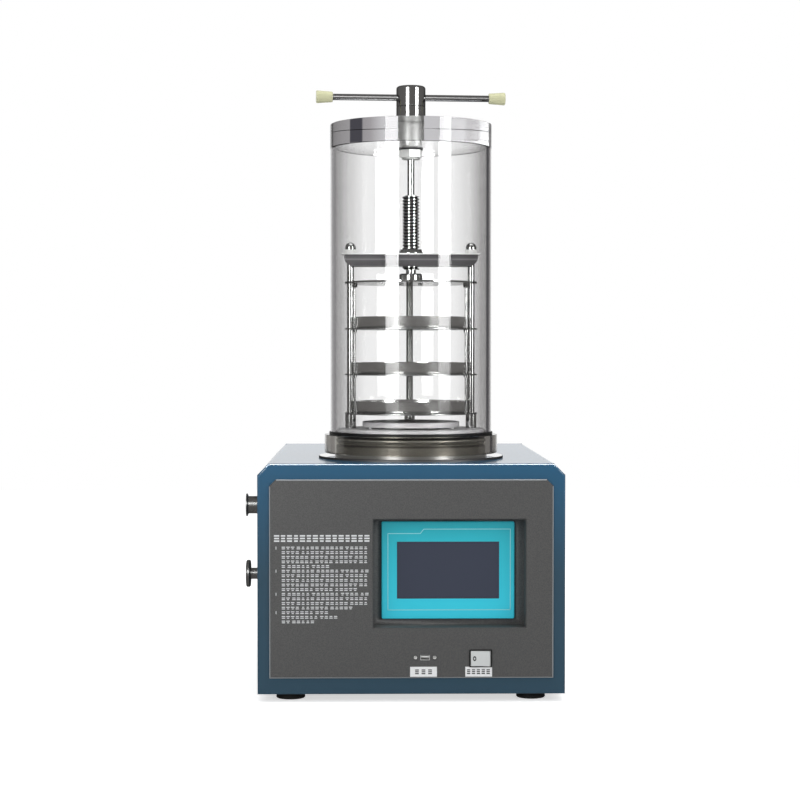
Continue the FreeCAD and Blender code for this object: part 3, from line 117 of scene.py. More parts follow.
def set_bands(ramp, stops, first, last):
    """Fill a colour ramp with (place, colour) stops, which run from a first place to a last one."""
    elements = ramp.color_ramp.elements
    while len(elements) < len(stops):
        elements.new(0.5)
    for element, (place, colour) in zip(elements, stops):
        element.position = (place - first) / (last - first)
        element.color = linear(colour)


# A thick disc is a lens that shows the far sides of the studio: pale cards, and one black flag. Each
# stop is at so many degrees to the right of straight back.
cards_end = 70
bearing = add_node(sky, "ShaderNodeMath", {0: way_parts.outputs["X"], 1: way_parts.outputs["Y"]},
                   operation="ARCTAN2")
across = add_node(sky, "ShaderNodeMapRange", {"Value": bearing.outputs[0]}, From_Min=radians(-cards_end),
                  From_Max=radians(cards_end))
cards = add_node(sky, "ShaderNodeValToRGB", {0: across.outputs[0]})
set_bands(cards, [(-69, "#3C3B3C"), (-66, "#F2F2F3"), (-46, "#DBDCDD"), (-42, "#B4B2B4"), (-31, "#AAA8AA"),
                  (-26, "#CBCACC"), (14, "#CFCED0"), (21, "#A7A4A6"), (26, "#9D9A9C"), (26.5, "#46454C"),
                  (36.5, "#46454C"), (37, "#A19FA0"), (66, "#979596"), (69, "#3C3B3C")],
          -cards_end, cards_end)
lid_view = add_node(sky, "ShaderNodeBackground", {"Color": cards.outputs[0]})

soft_sky = add_node(sky, "ShaderNodeBackground", Color=linear("#F4F6F8"), Strength=0.5)
white_sky = add_node(sky, "ShaderNodeBackground", Color=white)
shown = soft_sky
for chooser, other in ((direct, white_sky), (bounced, room), (in_lid, lid_view)):
    shown = add_node(sky, "ShaderNodeMixShader", {0: chooser.outputs[0], 1: shown.outputs[0],
                                                  2: other.outputs[0]})
add_node(sky, "ShaderNodeOutputWorld", {"Surface": shown.outputs[0]})
bpy.context.scene.world = world


def area_lamp(name, wide, tall, brightness, place, turn, rays):
    """A rectangular lamp that shines straight down until it is turned, on the named kinds of ray alone."""
    data = bpy.data.lights.new(name, "AREA")
    data.shape = "RECTANGLE"
    data.size = wide * mm
    data.size_y = tall * mm
    data.energy = brightness * pi * data.size * data.size_y
    lamp = bpy.data.objects.new(name, data)
    lamp.location = Vector(place) * mm
    lamp.rotation_euler = turn
    for kind in ("camera", "diffuse", "glossy", "transmission"):
        setattr(lamp, f"visible_{kind}", kind in rays)
    bpy.context.scene.collection.objects.link(lamp)
    return lamp


def upright_lamp(name, azimuth, distance, wide, low, high, brightness, rays):
    """A lamp that stands and faces the machine. Azimuth 0 is in front, and positive is to the right."""
    turn = radians(azimuth)
    place = (distance * sin(turn), -distance * cos(turn), (low + high) / 2)
    return area_lamp(name, wide, high - low, brightness, place, (radians(90), 0, turn), rays)


def receivers(lamps, name):
    """A collection of the pieces that these lamps are linked to."""
    chosen = bpy.data.collections.new(name)
    for lamp in lamps:
        lamp.light_linking.receiver_collection = chosen
    return chosen


# Two tall strips, which only glossy and clear surfaces show, give steel and acrylic their upright
# bright lines. They fade out over their lowest part, so the lines have no hard foot.
mirrored = ("glossy", "transmission")
strip_low, strip_high, strip_distance = 200, 2100, 3300
fade_part = 0.3
strips = [upright_lamp("strip_left", -26.5, strip_distance, 1050, strip_low, strip_high, 9.5, mirrored),
          upright_lamp("strip_right", 46, strip_distance, 1000, strip_low, strip_high, 9.5, mirrored)]
kept_from_strips = receivers(strips, "kept_from_strips")
for strip in strips:
    strip.data.use_nodes = True
    tree = strip.data.node_tree
    tree.nodes.clear()
    lamp_face = add_node(tree, "ShaderNodeNewGeometry")
    lamp_parts = add_node(tree, "ShaderNodeSeparateXYZ", {0: lamp_face.outputs["Parametric"]})
    fade = add_node(tree, "ShaderNodeMapRange", {"Value": lamp_parts.outputs["Y"]},
                    interpolation_type="SMOOTHSTEP", From_Max=fade_part)
    glow = add_node(tree, "ShaderNodeEmission", {"Strength": fade.outputs[0]})
    add_node(tree, "ShaderNodeOutputLight", {"Surface": glow.outputs[0]})

# Two soft lamps and one overhead light the colours and aren't mirrored. A lamp above the front gives
# the front frame's rolled rim its bright line, and a wide strip gives level round bars theirs.
for name, azimuth in (("key_left", -35), ("key_right", 40)):
    upright_lamp(name, azimuth, 3000, 1600, 600, 2400, 2.0, ("diffuse",))
overhead_side, overhead_power = 2400, 40.0
area_lamp("lamp_overhead", overhead_side, overhead_side, overhead_power / (pi * (overhead_side * mm) ** 2),
          (300, -200, 3200), (0, 0, 0), ("camera", "diffuse", "transmission"))
edge_lamp = area_lamp("lamp_edges", 2400, 1200, 34.0, (0, -1250, 2400), (0, 0, 0), ("glossy",))
enamelled = receivers([edge_lamp], "enamelled_pieces")
front_strip = upright_lamp("strip_front", 0, strip_distance, 1700, 830, 2300, 1.3, mirrored)
level_turned = receivers([front_strip], "level_turned_pieces")

# The floor is matt and pale. It glows where it is seen directly, so it stays white round the machine's
# shadow, and polished steel mirrors it as dark as the room.
floor_glow_level = 0.6
bpy.ops.object.select_all(action="DESELECT")
bpy.ops.mesh.primitive_plane_add(size=8, location=(0, 0, 0))
floor = bpy.context.object
floor.name = "studio_floor"
pale = bpy.data.materials.new("pale_floor")
pale.use_nodes = True
tree = pale.node_tree
tree.nodes.clear()
floor_path = add_node(tree, "ShaderNodeLightPath")
floor_paint = add_node(tree, "ShaderNodeBsdfDiffuse", Color=linear("#F2F2F2"))
floor_seen = add_node(tree, "ShaderNodeMath", {0: floor_path.outputs["Is Camera Ray"],
                                               1: floor_path.outputs["Is Transmission Ray"]},
                      operation="MAXIMUM")
floor_glow = add_node(tree, "ShaderNodeEmission", {"Strength": floor_seen.outputs[0]},
                      Color=[floor_glow_level] * 3 + [1])
floor_lit = add_node(tree, "ShaderNodeAddShader", {0: floor_paint.outputs[0], 1: floor_glow.outputs[0]})
floor_mirrored = add_node(tree, "ShaderNodeMath", {0: floor_path.outputs["Glossy Depth"], 1: 0.5},
                          operation="GREATER_THAN")
floor_dim = add_node(tree, "ShaderNodeEmission", Color=room_grey)
floor_mix = add_node(tree, "ShaderNodeMixShader", {0: floor_mirrored.outputs[0], 1: floor_lit.outputs[0],
                                                   2: floor_dim.outputs[0]})
add_node(tree, "ShaderNodeOutputMaterial", {"Surface": floor_mix.outputs[0]})
floor.data.materials.append(pale)


# Cabinet cover and rear panel: steel sheet, folded and fixed to the base tray, with a powder enamel in
# dark steel blue. The folds are a little rounded, and louvre slots and the fan's grille are cut out.
def solid_copy(node, name):
    """A welded copy of a CAD piece, flat faces made whole, ready to be shaped and finished."""
    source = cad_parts[node]
    bpy.ops.object.select_all(action="DESELECT")
    piece = source.copy()
    piece.data = source.data.copy()
    piece.name = name
    piece.data.name = name
    piece.data.materials.clear()
    piece.parent = None
    piece.matrix_world = Matrix.Identity(4)
    for key in [k for k in piece.keys() if k.startswith("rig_")]:
        del piece[key]
    bpy.context.scene.collection.objects.link(piece)
    bpy.context.view_layer.objects.active = piece
    piece.select_set(True)
    bpy.ops.object.mode_set(mode="EDIT")
    bpy.ops.mesh.select_all(action="SELECT")
    bpy.ops.mesh.remove_doubles(threshold=0.002 * mm)
    bpy.ops.mesh.dissolve_limited(angle_limit=radians(0.5))
    bpy.ops.object.mode_set(mode="OBJECT")
    return piece


def round_edges(piece, radius, steps, test):
    """Round the edges whose two ends, in millimetres, pass the test."""
    bpy.ops.object.mode_set(mode="EDIT")
    bpy.ops.mesh.select_all(action="DESELECT")
    bpy.ops.mesh.select_mode(type="EDGE")
    bpy.ops.object.mode_set(mode="OBJECT")
    for edge in piece.data.edges:
        a, b = (piece.data.vertices[i].co / mm for i in edge.vertices)
        edge.select = test(a, b)
    bpy.ops.object.mode_set(mode="EDIT")
    bpy.ops.mesh.bevel(offset=radius * mm, segments=steps, affect="EDGES", clamp_overlap=True)
    bpy.ops.object.mode_set(mode="OBJECT")


def finish(piece, material, body, replaced=(), smooth=35.0):
    """Smooth a piece with its flat faces kept flat, give it its material and hang it on its moving body."""
    bpy.ops.object.select_all(action="DESELECT")
    bpy.context.view_layer.objects.active = piece
    piece.select_set(True)
    bpy.ops.object.shade_smooth_by_angle(angle=radians(smooth))
    flat = piece.modifiers.new("flat_faces", "WEIGHTED_NORMAL")
    flat.weight = 100
    flat.keep_sharp = True
    piece.data.materials.clear()
    piece.data.materials.append(material)
    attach(piece, body)
    if replaced:
        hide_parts(*replaced)
    return piece


def break_edges(piece, width, angle=30.0):
    """Break every sharp edge by a small bevel, as a deburred or moulded piece has."""
    bevel = piece.modifiers.new("edges", "BEVEL")
    bevel.width = width * mm
    bevel.segments = 2
    bevel.limit_method = "ANGLE"
    bevel.angle_limit = radians(angle)
    bevel.use_clamp_overlap = True
    bpy.context.view_layer.objects.active = piece
    bpy.ops.object.modifier_apply(modifier=bevel.name)


def dressed(node, name, material, body, edge=0.0, angle=30.0, smooth=35.0):
    """A finished copy in a CAD piece's place, its sharp edges broken by so many millimetres."""
    piece = solid_copy(node, name)
    if edge:
        break_edges(piece, edge, angle)
    return finish(piece, material, body, [node], smooth)


def surface(name, colour, metallic=0.0, roughness=0.5, coat=0.0, ior=1.45, tint="#A0A0A0"):
    """A material with one Principled shader. Tint is what a bare metal is multiplied by at its edges."""
    made = bpy.data.materials.new(name)
    made.use_nodes = True
    tree = made.node_tree
    tree.nodes.clear()
    shader = add_node(tree, "ShaderNodeBsdfPrincipled", Base_Color=linear(colour), Metallic=metallic,
                      Roughness=roughness, Coat_Weight=coat)
    if metallic == 1.0:
        shader.inputs["Specular Tint"].default_value = linear(tint)
    else:
        shader.inputs["IOR"].default_value = ior
    add_node(tree, "ShaderNodeOutputMaterial", {"Surface": shader.outputs[0]})
    return made


def nodes_of(material):
    """A material's node tree and its Principled shader."""
    return material.node_tree, material.node_tree.nodes["Principled BSDF"]


def up_the_piece(tree, foot, top):
    """An output that goes from 0 to 1 between two heights in millimetres."""
    place = add_node(tree, "ShaderNodeTexCoord")
    parts = add_node(tree, "ShaderNodeSeparateXYZ", {0: place.outputs["Object"]})
    rise = add_node(tree, "ShaderNodeMapRange", {"Value": parts.outputs["Z"]}, From_Min=foot * mm,
                    From_Max=top * mm)
    return rise.outputs[0]


def deeper_below(material, low, high, foot, top):
    """Paint shade into a material's colour, going from low to high between a foot and a top in millimetres.
    """
    tree, shader = nodes_of(material)
    blend = add_node(tree, "ShaderNodeMix", {"Factor": up_the_piece(tree, foot, top), "A": linear(low),
                                             "B": linear(high)}, data_type="RGBA")
    tree.links.new(blend.outputs[mixed], shader.inputs["Base Color"])


# Baked powder enamel: a hard smooth paint with a faint orange peel and a soft gloss. Its colour has
# painted shade: deeper and greyer towards the foot of the cabinet, where less light falls and less of the
# studio shows in it.
peel_size, peel_depth = 3.0, 0.05
blue_enamel = surface("powder_enamel_blue", "#2A5570", roughness=0.3, coat=0.6)
tree, shader = nodes_of(blue_enamel)
shader.inputs["Coat Roughness"].default_value = 0.08
coords = add_node(tree, "ShaderNodeTexCoord")
peel = add_node(tree, "ShaderNodeTexNoise", {"Vector": coords.outputs["Object"]}, Scale=1 / (peel_size * mm),
                Detail=1.0)
peel_bump = add_node(tree, "ShaderNodeBump", {"Height": peel.outputs[0]}, Strength=0.05,
                     Distance=peel_depth * mm)
tree.links.new(peel_bump.outputs[0], shader.inputs["Normal"])
# Painted shade: the blue is painted deeper and greyer towards the foot.
deeper_below(blue_enamel, "#2F4F62", "#265F82", 190, 350)

cover_low, cover_high = (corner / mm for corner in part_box("cabinet_cover"))
cover_middle = (cover_low.x + cover_high.x) / 2
cover_half_width = (cover_high.x - cover_low.x) / 2
fold_radius = 2.5
fold_least_length = 400
fold_band = 25  # the sloping corners end within this of the top
hair = 0.1


def is_outer_fold(a, b):
    """Whether an edge runs from front to back on the outside of the cover's top or sloping corners."""
    runs_back = abs(a.y - b.y) > fold_least_length and min(a.z, b.z) > cover_high.z - fold_band
    furthest_out = max(abs(a.x - cover_middle), abs(b.x - cover_middle))
    return runs_back and (max(a.z, b.z) > cover_high.z - hair or furthest_out > cover_half_width - hair)


cover = solid_copy("cabinet_cover", "cover_folded")
round_edges(cover, fold_radius, 4, is_outer_fold)
finish(cover, blue_enamel, "machine", ["cabinet_cover"])
# The cover's flat top would mirror a whole strip from behind, so the strips leave it out.
kept_from_strips.objects.link(cover)
kept_from_strips.collection_objects[0].light_linking.link_state = "EXCLUDE"

dressed("rear_panel", "rear_panel_flanged", blue_enamel, "machine")


# Front frame: the same enamel on a flanged steel frame that closes the front of the cabinet. Its outer
# edge is rolled and catches a bright line along the top, and a fine seam parts it from the cover.
enamelled.objects.link(dressed("front_frame", "front_frame_flanged", blue_enamel, "machine"))


# Front panel: an aluminium plate with bevelled edges in grey metallic stoving enamel, fixed on the
# front frame. Fine flakes give it a slight sparkle, and its bevels are painted paler than its face, a painted
# highlight where they catch light from above.
flake_size = 1.2
grey_enamel = surface("metallic_enamel_grey", "#5D6063", metallic=0.35, roughness=0.42, coat=0.15)
tree, shader = nodes_of(grey_enamel)
coords = add_node(tree, "ShaderNodeTexCoord")
flake = add_node(tree, "ShaderNodeTexNoise", {"Vector": coords.outputs["Object"]},
                 Scale=1 / (flake_size * mm), Detail=0.0)
flake_range = add_node(tree, "ShaderNodeMapRange", {"Value": flake.outputs[0]}, From_Min=0.3, From_Max=0.7)
flake_mix = add_node(tree, "ShaderNodeMix", {"Factor": flake_range.outputs[0], "A": linear("#5B5B5B"),
                                             "B": linear("#686867")}, data_type="RGBA")
tree.links.new(flake_mix.outputs[mixed], shader.inputs["Base Color"])

panel = dressed("front_panel", "front_panel_plate", grey_enamel, "machine", smooth=20)
panel_low, panel_high = (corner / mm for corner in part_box("front_panel"))
panel_face = panel_low.y
bevel_band = 3


def second_material(piece, material, test):
    """Give a second material to the faces whose middle, in millimetres, passes the test."""
    piece.data.materials.append(material)
    for face in piece.data.polygons:
        if test(face.center / mm):
            face.material_index = len(piece.data.materials) - 1


def is_panel_bevel(p):
    """Whether a point is on the panel's bevelled rim, behind its face and in front of its back."""
    at_rim = (p.z > panel_high.z - bevel_band or p.z < panel_low.z + bevel_band
              or p.x > panel_high.x - bevel_band or p.x < panel_low.x + bevel_band)
    return at_rim and panel_face + 0.1 < p.y < panel_high.y - 0.3


worn_enamel = surface("metallic_enamel_grey_edge", "#A6AAAD", metallic=0.2, roughness=0.4)
# The paler bevels are a painted highlight.
second_material(panel, worn_enamel, is_panel_bevel)


# Base tray and screen recess: plain folded sheet. The tray is the dull bright grey of zinc plate, and
# the recess is fixed behind the panel's window and enamelled like the panel.
zinc = surface("zinc_plated_steel", "#9A9C9E", metallic=1.0, roughness=0.45)
dressed("base_tray", "base_tray_folded", zinc, "machine")
dressed("screen_recess", "screen_recess_pan", grey_enamel, "machine")


# Feet: four moulded rubber buffers, matt black, each with a recess for the screw that holds it under
# the base tray.
def profile(name, outline):
    """A line of edges through (radius, height) points, in millimetres, left in edit mode."""
    bpy.ops.object.select_all(action="DESELECT")
    bpy.ops.mesh.primitive_plane_add(size=1)
    piece = bpy.context.object
    piece.name = name
    piece.data.name = name
    bpy.ops.object.mode_set(mode="EDIT")
    bpy.ops.mesh.select_mode(type="VERT")
    bpy.ops.mesh.select_all(action="SELECT")
    bpy.ops.mesh.merge(type="CENTER")
    start = Vector((outline[0][0], 0, outline[0][1]))
    bpy.ops.transform.translate(value=start * mm)
    for (r0, z0), (r1, z1) in zip(outline, outline[1:]):
        bpy.ops.mesh.extrude_region_move(TRANSFORM_OT_translate={"value": Vector((r1 - r0, 0, z1 - z0)) * mm})
    return piece


def turned(name, outline, axis_at, steps, axis=(0, 0, 1)):
    """Turn an outline about the upright axis, then lay it along another axis at a place in millimetres."""
    piece = profile(name, outline)
    bpy.ops.mesh.select_all(action="SELECT")
    bpy.ops.mesh.spin(steps=steps, angle=2 * pi, center=(0, 0, 0), axis=(0, 0, 1))
    bpy.ops.mesh.select_all(action="SELECT")
    bpy.ops.mesh.remove_doubles(threshold=0.005 * mm)
    bpy.ops.mesh.normals_make_consistent(inside=False)
    bpy.ops.object.mode_set(mode="OBJECT")
    lay = Vector((0, 0, 1)).rotation_difference(Vector(axis)).to_matrix().to_4x4()
    piece.data.transform(Matrix.Translation(Vector(axis_at) * mm) @ lay)
    return piece


def arc(cx, cz, radius, start, end, steps):
    """Points of a quarter round or other arc, as (radius, height), angles in degrees."""
    angles = [radians(start + (end - start) * n / steps) for n in range(steps + 1)]
    return [(cx + radius * cos(angle), cz + radius * sin(angle)) for angle in angles]


def joined(pieces, name):
    """Join like pieces into one mesh."""
    bpy.ops.object.select_all(action="DESELECT")
    for piece in pieces:
        piece.select_set(True)
    bpy.context.view_layer.objects.active = pieces[0]
    bpy.ops.object.join()
    pieces[0].name = name
    pieces[0].data.name = name
    return pieces[0]


black_rubber = surface("moulded_rubber_black", "#1B1B1B", roughness=0.7)
feet_low, feet_high = (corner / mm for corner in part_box("feet"))
foot_radius, foot_top_radius, foot_round = 22.0, 20.5, 2
bore_radius, bore_depth = 5, 4
foot_outline = ([(0, bore_depth), (bore_radius, bore_depth), (bore_radius, 0)]
                + arc(foot_radius - foot_round, foot_round, foot_round, -90, 0, 4)
                + [(foot_top_radius, feet_high.z), (0, feet_high.z)])
foot_places = [(x, y) for x in (feet_low.x + foot_radius, feet_high.x - foot_radius)
               for y in (feet_low.y + foot_radius, feet_high.y - foot_radius)]
feet = [turned(f"foot_{n}", foot_outline, (x, y, 0), 48) for n, (x, y) in enumerate(foot_places)]
finish(joined(feet, "rubber_feet"), black_rubber, "machine", ["feet"])


# Screen: a moulded unit with a teal film face, seated in the recess, and a dark glass display. A fine
# pale line is printed round the display, with one stepped corner where the film carries a plain tab.
# Printed film: a satin teal with painted shade that darkens it towards its top, where the recess shades it,
# and a faint painted glow over it all.
teal = surface("printed_film_teal", "#38C6DE", roughness=0.3, coat=0.25)
tree, shader = nodes_of(teal)
# Painted glow: a faint emission brightens the film in its shaded recess.
shader.inputs["Emission Color"].default_value = linear("#2FB9D4")
shader.inputs["Emission Strength"].default_value = 0.16
unit_low, unit_high = (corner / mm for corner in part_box("screen_unit"))
# Painted shade: the film is painted darker towards its top.
deeper_below(teal, "#34D5EC", "#28B0BB", unit_low.z, unit_high.z)
dressed("screen_unit", "screen_unit_moulded", teal, "machine", 0.3)

# Display glass: nearly black and smooth, so it mirrors the dark room sharply.
dark_glass = surface("display_glass", "#464B5A", roughness=0.08, coat=0.5)
dressed("screen_display", "display_pane", dark_glass, "machine")


def block(middle, size, slope=0.0):
    """A rectangular block by its middle and size, in millimetres, sloped across the front."""
    bpy.ops.object.select_all(action="DESELECT")
    bpy.ops.mesh.primitive_cube_add(size=1, location=(0, 0, 0))
    piece = bpy.context.object
    piece.data.transform(Matrix.Translation(Vector(middle) * mm) @ Matrix.Rotation(slope, 4, "Y")
                         @ Matrix.Diagonal(Vector(size) * mm).to_4x4())
    return piece


line_wide, line_thick = 1.2, 0.15
left, right = unit_low.x + 8.9, unit_high.x - 5.7
foot, top = unit_low.z + 12.9, unit_high.z - 10.9
notch_wide, notch_tall, slant_length = 5.1, 6.6, 8.6
notch_x, notch_z = left + 49.5, top - notch_tall
line_y = unit_low.y - line_thick / 2
runs = ((left, right, foot, foot + line_wide), (left, left + line_wide, foot, notch_z),
        (right - line_wide, right, foot, top), (left, notch_x, notch_z - line_wide, notch_z),
        (notch_x + notch_wide, right, top - line_wide, top))
line_bars = [block(((x0 + x1) / 2, line_y, (z0 + z1) / 2), (x1 - x0, line_thick, z1 - z0))
             for x0, x1, z0, z1 in runs]
slant = block((notch_x + notch_wide / 2, line_y, top - (notch_tall + line_wide) / 2),
              (slant_length, line_thick, line_wide), -atan2(notch_tall, notch_wide))
# Pale ink on the film, flat and a little matt.
line_teal = surface("printed_line_pale_teal", "#9BE9F2", roughness=0.3)
finish(joined(line_bars + [slant], "screen_line"), line_teal, "machine")


# Print on the panel: screen-printed pale grey ink in rows of plain dashes, two to a place, where
# operating notes stand. A heavier row above is for their title, and an upright mark opens each group.
def dash(x, z, half_length, half_height):
    """A dash about its middle, as (left, right, low, high)."""
    return x - half_length, x + half_length, z - half_height, z + half_height


print_left = panel_low.x + 18.2
row_pitch, first_row = 6.9, 231.8
row_ends = {5: -106.0, 10: -68.5, 14: -72.5, 15: -110.0, 16: -99.0, 17: -129.0}
full_row_end = -50.8
group_starts = (1, 6, 11, 15)
dash_middle, dash_height, dash_lift = 2.6, 1.3, 1.25
strokes = []
for row in range(1, 18):
    z = first_row - (row - 1) * row_pitch
    x = print_left + 0.4
    while x + 5.4 <= row_ends.get(row, full_row_end) + 0.5:
        for level in (-1, 1):
            half = (2.6, 2.1, 2.4, 1.6, 2.5)[(row * 5 + int(x * 3.7) + level) % 5]
            strokes.append(dash(x + dash_middle, z + dash_lift * level, half, dash_height / 2))
        x += row_pitch * (1.0 if int(x + row * 11) % 6 else 1.25)
    if row in group_starts:
        strokes.append(dash(print_left - 8.0, z, 0.5, 2.2))
title_left, title_z, title_pitch, title_lift = print_left - 11.0, 246.0, 9.6, 3.9
for n in range(15):
    x = title_left + n * title_pitch + 4.0
    for level in range(3):
        half = (4.0, 3.3, 3.7, 2.8)[(n + 2 * level) % 4]
        strokes.append(dash(x, title_z + title_lift * (level - 1), half, 1.15))


def stroke_sheet(name, bars, y):
    """Many flat strokes as one mesh, each a face towards the front and an ink film off the surface."""
    bpy.ops.object.select_all(action="DESELECT")
    bpy.ops.mesh.primitive_plane_add(size=1)
    sheet = bpy.context.object
    sheet.name = name
    sheet.data.name = name
    film = y - 0.05
    points = [Vector((x, film, z)) * mm for x0, x1, z0, z1 in bars
              for x, z in ((x0, z0), (x1, z0), (x1, z1), (x0, z1))]
    sheet.data.clear_geometry()
    sheet.data.from_pydata(points, [], [(4 * n, 4 * n + 1, 4 * n + 2, 4 * n + 3) for n in range(len(bars))])
    return sheet


# Matt printing ink, opaque and pale against the grey enamel.
print_grey = surface("screen_printed_ink_grey", "#E4E6E7", roughness=0.6)
finish(stroke_sheet("printed_notes", strokes, panel_face), print_grey, "machine")


# Label plates: two thin white laminate plates stuck on under the socket and the switch. Each carries
# groups of three dark bars, printed where words would stand.
plate_wide, plate_high, plate_thick, plate_z = 40.0, 15.0, 0.8, 46.4
usb_plate_x, switch_plate_x = 29.6, 112.0
plates = [block((x, panel_face - plate_thick / 2, plate_z), (plate_wide, plate_thick, plate_high))
          for x in (usb_plate_x, switch_plate_x)]
for plate in plates:
    break_edges(plate, 0.25)
# Satin plastic, white right to its edges, and dense black ink.
white_plate = surface("laminate_white", "#F6F6F6", roughness=0.35)
dark_ink = surface("printed_ink_black", "#151515", roughness=0.6)
finish(joined(plates, "label_plates"), white_plate, "machine")
bar_half_height = 0.8
label_bars = [(x + dx, x + dx + wide, plate_z + dz - bar_half_height, plate_z + dz + bar_half_height)
              for x, wide, starts in ((usb_plate_x, 5.6, (-12.6, -2.8, 7.0)),
                                      (switch_plate_x, 5.0, (-17.5, -10.2, -2.9, 4.4, 11.7)))
              for dx in starts for dz in (-2.7, 0.0, 2.7)]
label_marks = stroke_sheet("label_marks", label_bars, panel_face - plate_thick)
finish(label_marks, dark_ink, "machine")


# USB socket: a pressed and nickel-plated shell with a white moulded tongue, let into the panel and
# held by two small pan-head screws.
nickel = surface("nickel_plate", "#D8D8D6", metallic=0.7, roughness=0.3)  # warm, soft bright metal
white_nylon = surface("polyamide_white", "#F2F2F0", roughness=0.4)  # plain satin white
usb_shell = dressed("usb_socket", "usb_shell", nickel, "machine")
usb_low, usb_high = (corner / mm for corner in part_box("usb_socket"))
usb_x, usb_z = (usb_low.x + usb_high.x) / 2, (usb_low.z + usb_high.z) / 2
tongue_half_wide, tongue_half_tall = 5.4, 1.9
second_material(usb_shell, white_nylon,
                lambda p: abs(p.x - usb_x) < tongue_half_wide and abs(p.z - usb_z) < tongue_half_tall)
screw_offset = 14.4
head_outline = [(0, 0), (2.7, 0)] + arc(1.3, 0.2, 1.4, 0, 70, 4) + [(1.0, 1.2), (0.8, 0.6), (0, 0.6)]
screws = [turned("screw", head_outline, (x, panel_face, usb_z), 24, axis=(0, -1, 0))
          for x in (usb_x - screw_offset, usb_x + screw_offset)]
finish(joined(screws, "usb_screws"), nickel, "machine")


# Power switch: a black polyamide rocker switch, snapped into the panel. The pale grey rocker
# stands with its marked half pressed in, and a plain ring is printed on that half.
black_nylon = surface("polyamide_black", "#161718", roughness=0.4)  # satin moulded black
grey_abs = surface("abs_pale_grey", "#D8DAD9", roughness=0.35)  # smooth, slightly glossy
dressed("switch_body", "switch_case", black_nylon, "machine", 0.3)
rocker = dressed("switch_rocker", "switch_rocker_moulded", grey_abs, "rocker", 0.25)
rocker_low, rocker_high = (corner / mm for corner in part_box("switch_rocker"))
bpy.ops.object.select_all(action="DESELECT")
bpy.ops.mesh.primitive_torus_add(major_radius=2.7 * mm, minor_radius=0.95 * mm, major_segments=40,
                                 minor_segments=8)
ring_mark = bpy.context.object
ring_mark.name = "switch_mark"
before_mark = Vector((rocker_low.x + 5.8, rocker_low.y - 20, (rocker_low.z + rocker_high.z) / 2))
_, mark_place, facing, _ = rocker.ray_cast(before_mark * mm, Vector((0, 1, 0)))
mark_turn = Vector((0, 0, 1)).rotation_difference(facing).to_matrix().to_4x4()
mark_squash = (0.7, 1.0, 0.3, 1)
ring_mark.data.transform(Matrix.Translation(mark_place) @ mark_turn @ Matrix.Diagonal(mark_squash))
finish(ring_mark, dark_ink, "rocker")


# Side ports: flanged stubs turned from stainless steel and fixed through the cabinet's left side, the
# upper for the vacuum pump, the lower for the drain. Fine turning marks soften their shine.
satin_steel = surface("stainless_steel_turned", "#B9BAB9", metallic=1.0, roughness=0.24)
for port in ("vacuum_port", "drain_port"):
    level_turned.objects.link(dressed(port, f"{port}_turned", satin_steel, "machine"))


# Mains inlet: a black moulded appliance inlet, snapped into the rear panel. It is of the switch's
# polyamide, with its edges a little rounded, and no cord is plugged in.
dressed("power_inlet", "mains_inlet", black_nylon, "machine", 0.3)


# Chamber base: a mirror-bright trim plate on the cabinet, a turned flange with a beaded side that
# clamps the cold trap's rim, and a black rubber gasket that the tube stands on.
lid_low, lid_high = (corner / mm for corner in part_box("lid"))
chamber = Vector(((lid_low.x + lid_high.x) / 2, (lid_low.y + lid_high.y) / 2, 0))


def span(node):
    """The lowest and highest point of a CAD piece, in millimetres."""
    low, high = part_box(node)
    return low.z / mm, high.z / mm


# The trim's face is polished to a mirror, and its turned edge is dull and painted dark, a painted shade for
# the shadow under the trim's rim.
mirror_steel = surface("stainless_steel_mirror", "#D4D5D6", metallic=1.0, roughness=0.05, tint="#FFFFFF")
turned_edge = surface("stainless_steel_turned_edge", "#6E6E6E", metallic=1.0, roughness=0.5)
z0, z1 = span("trim_plate")
trim_bore, trim_radius, trim_edge = 90.3, 145.4, 144.6
trim = turned("trim_disc", [(trim_bore, z0), (trim_radius, z0), (trim_radius, z1 - 0.8), (trim_edge, z1),
                            (trim_bore, z1), (trim_bore, z0)], chamber, 192)
finish(trim, mirror_steel, "machine", ["trim_plate"])
# Painted shade: the trim's rim is painted dark.
second_material(trim, turned_edge, lambda p: (p - chamber).to_2d().length > trim_edge + 0.1)

z0, z1 = span("base_flange")
step = z0 + 4.5
groove = step + 13.0
flange_foot, flange_side, groove_root = 119.9, 117.9, 114
flange_outline = ([(104.3, z0), (flange_foot, z0), (flange_foot, step), (flange_side, step),
                   (flange_side, groove), (groove_root, groove), (groove_root, groove + 3)]
                  + arc(groove_root, groove + 8, 3.9, -50, 50, 8)
                  + [(groove_root, groove + 13), (flange_side, groove + 13.4), (flange_side, z1 - 4),
                     (113, z1 - 4), (113, z1), (88.5, z1), (88.5, z0 + 2), (104.3, z0 + 2), (104.3, z0)])
flange = turned("flange_turned", flange_outline, chamber, 192)
# Turned steel with painted highlights and painted shade in bands down its side, where each step and the bead
# would turn the shine. The stops are depths under its top.
turned_flange = surface("stainless_steel_turned_flange", "#8A8886", metallic=0.6, roughness=0.3)
tree, shader = nodes_of(turned_flange)
bands_depth = 35
bands = add_node(tree, "ShaderNodeValToRGB", {0: up_the_piece(tree, z1, z1 - bands_depth)})
set_bands(bands, [(0, "#6E6C6A"), (2.3, "#C8C6C2"), (5.5, "#3C3A39"), (8, "#3C3A39"), (10.4, "#F0EEEA"),
                  (12.5, "#8C8A88"), (15, "#CAC8C4"), (17.5, "#B0AEAA"), (19.7, "#3A3938"), (22, "#A4A29F"),
                  (34, "#9C9A97")], 0, bands_depth)
# Painted highlights and painted shade: the bands are painted into the colour.
tree.links.new(bands.outputs[0], shader.inputs["Base Color"])
finish(flange, turned_flange, "machine", ["base_flange"])

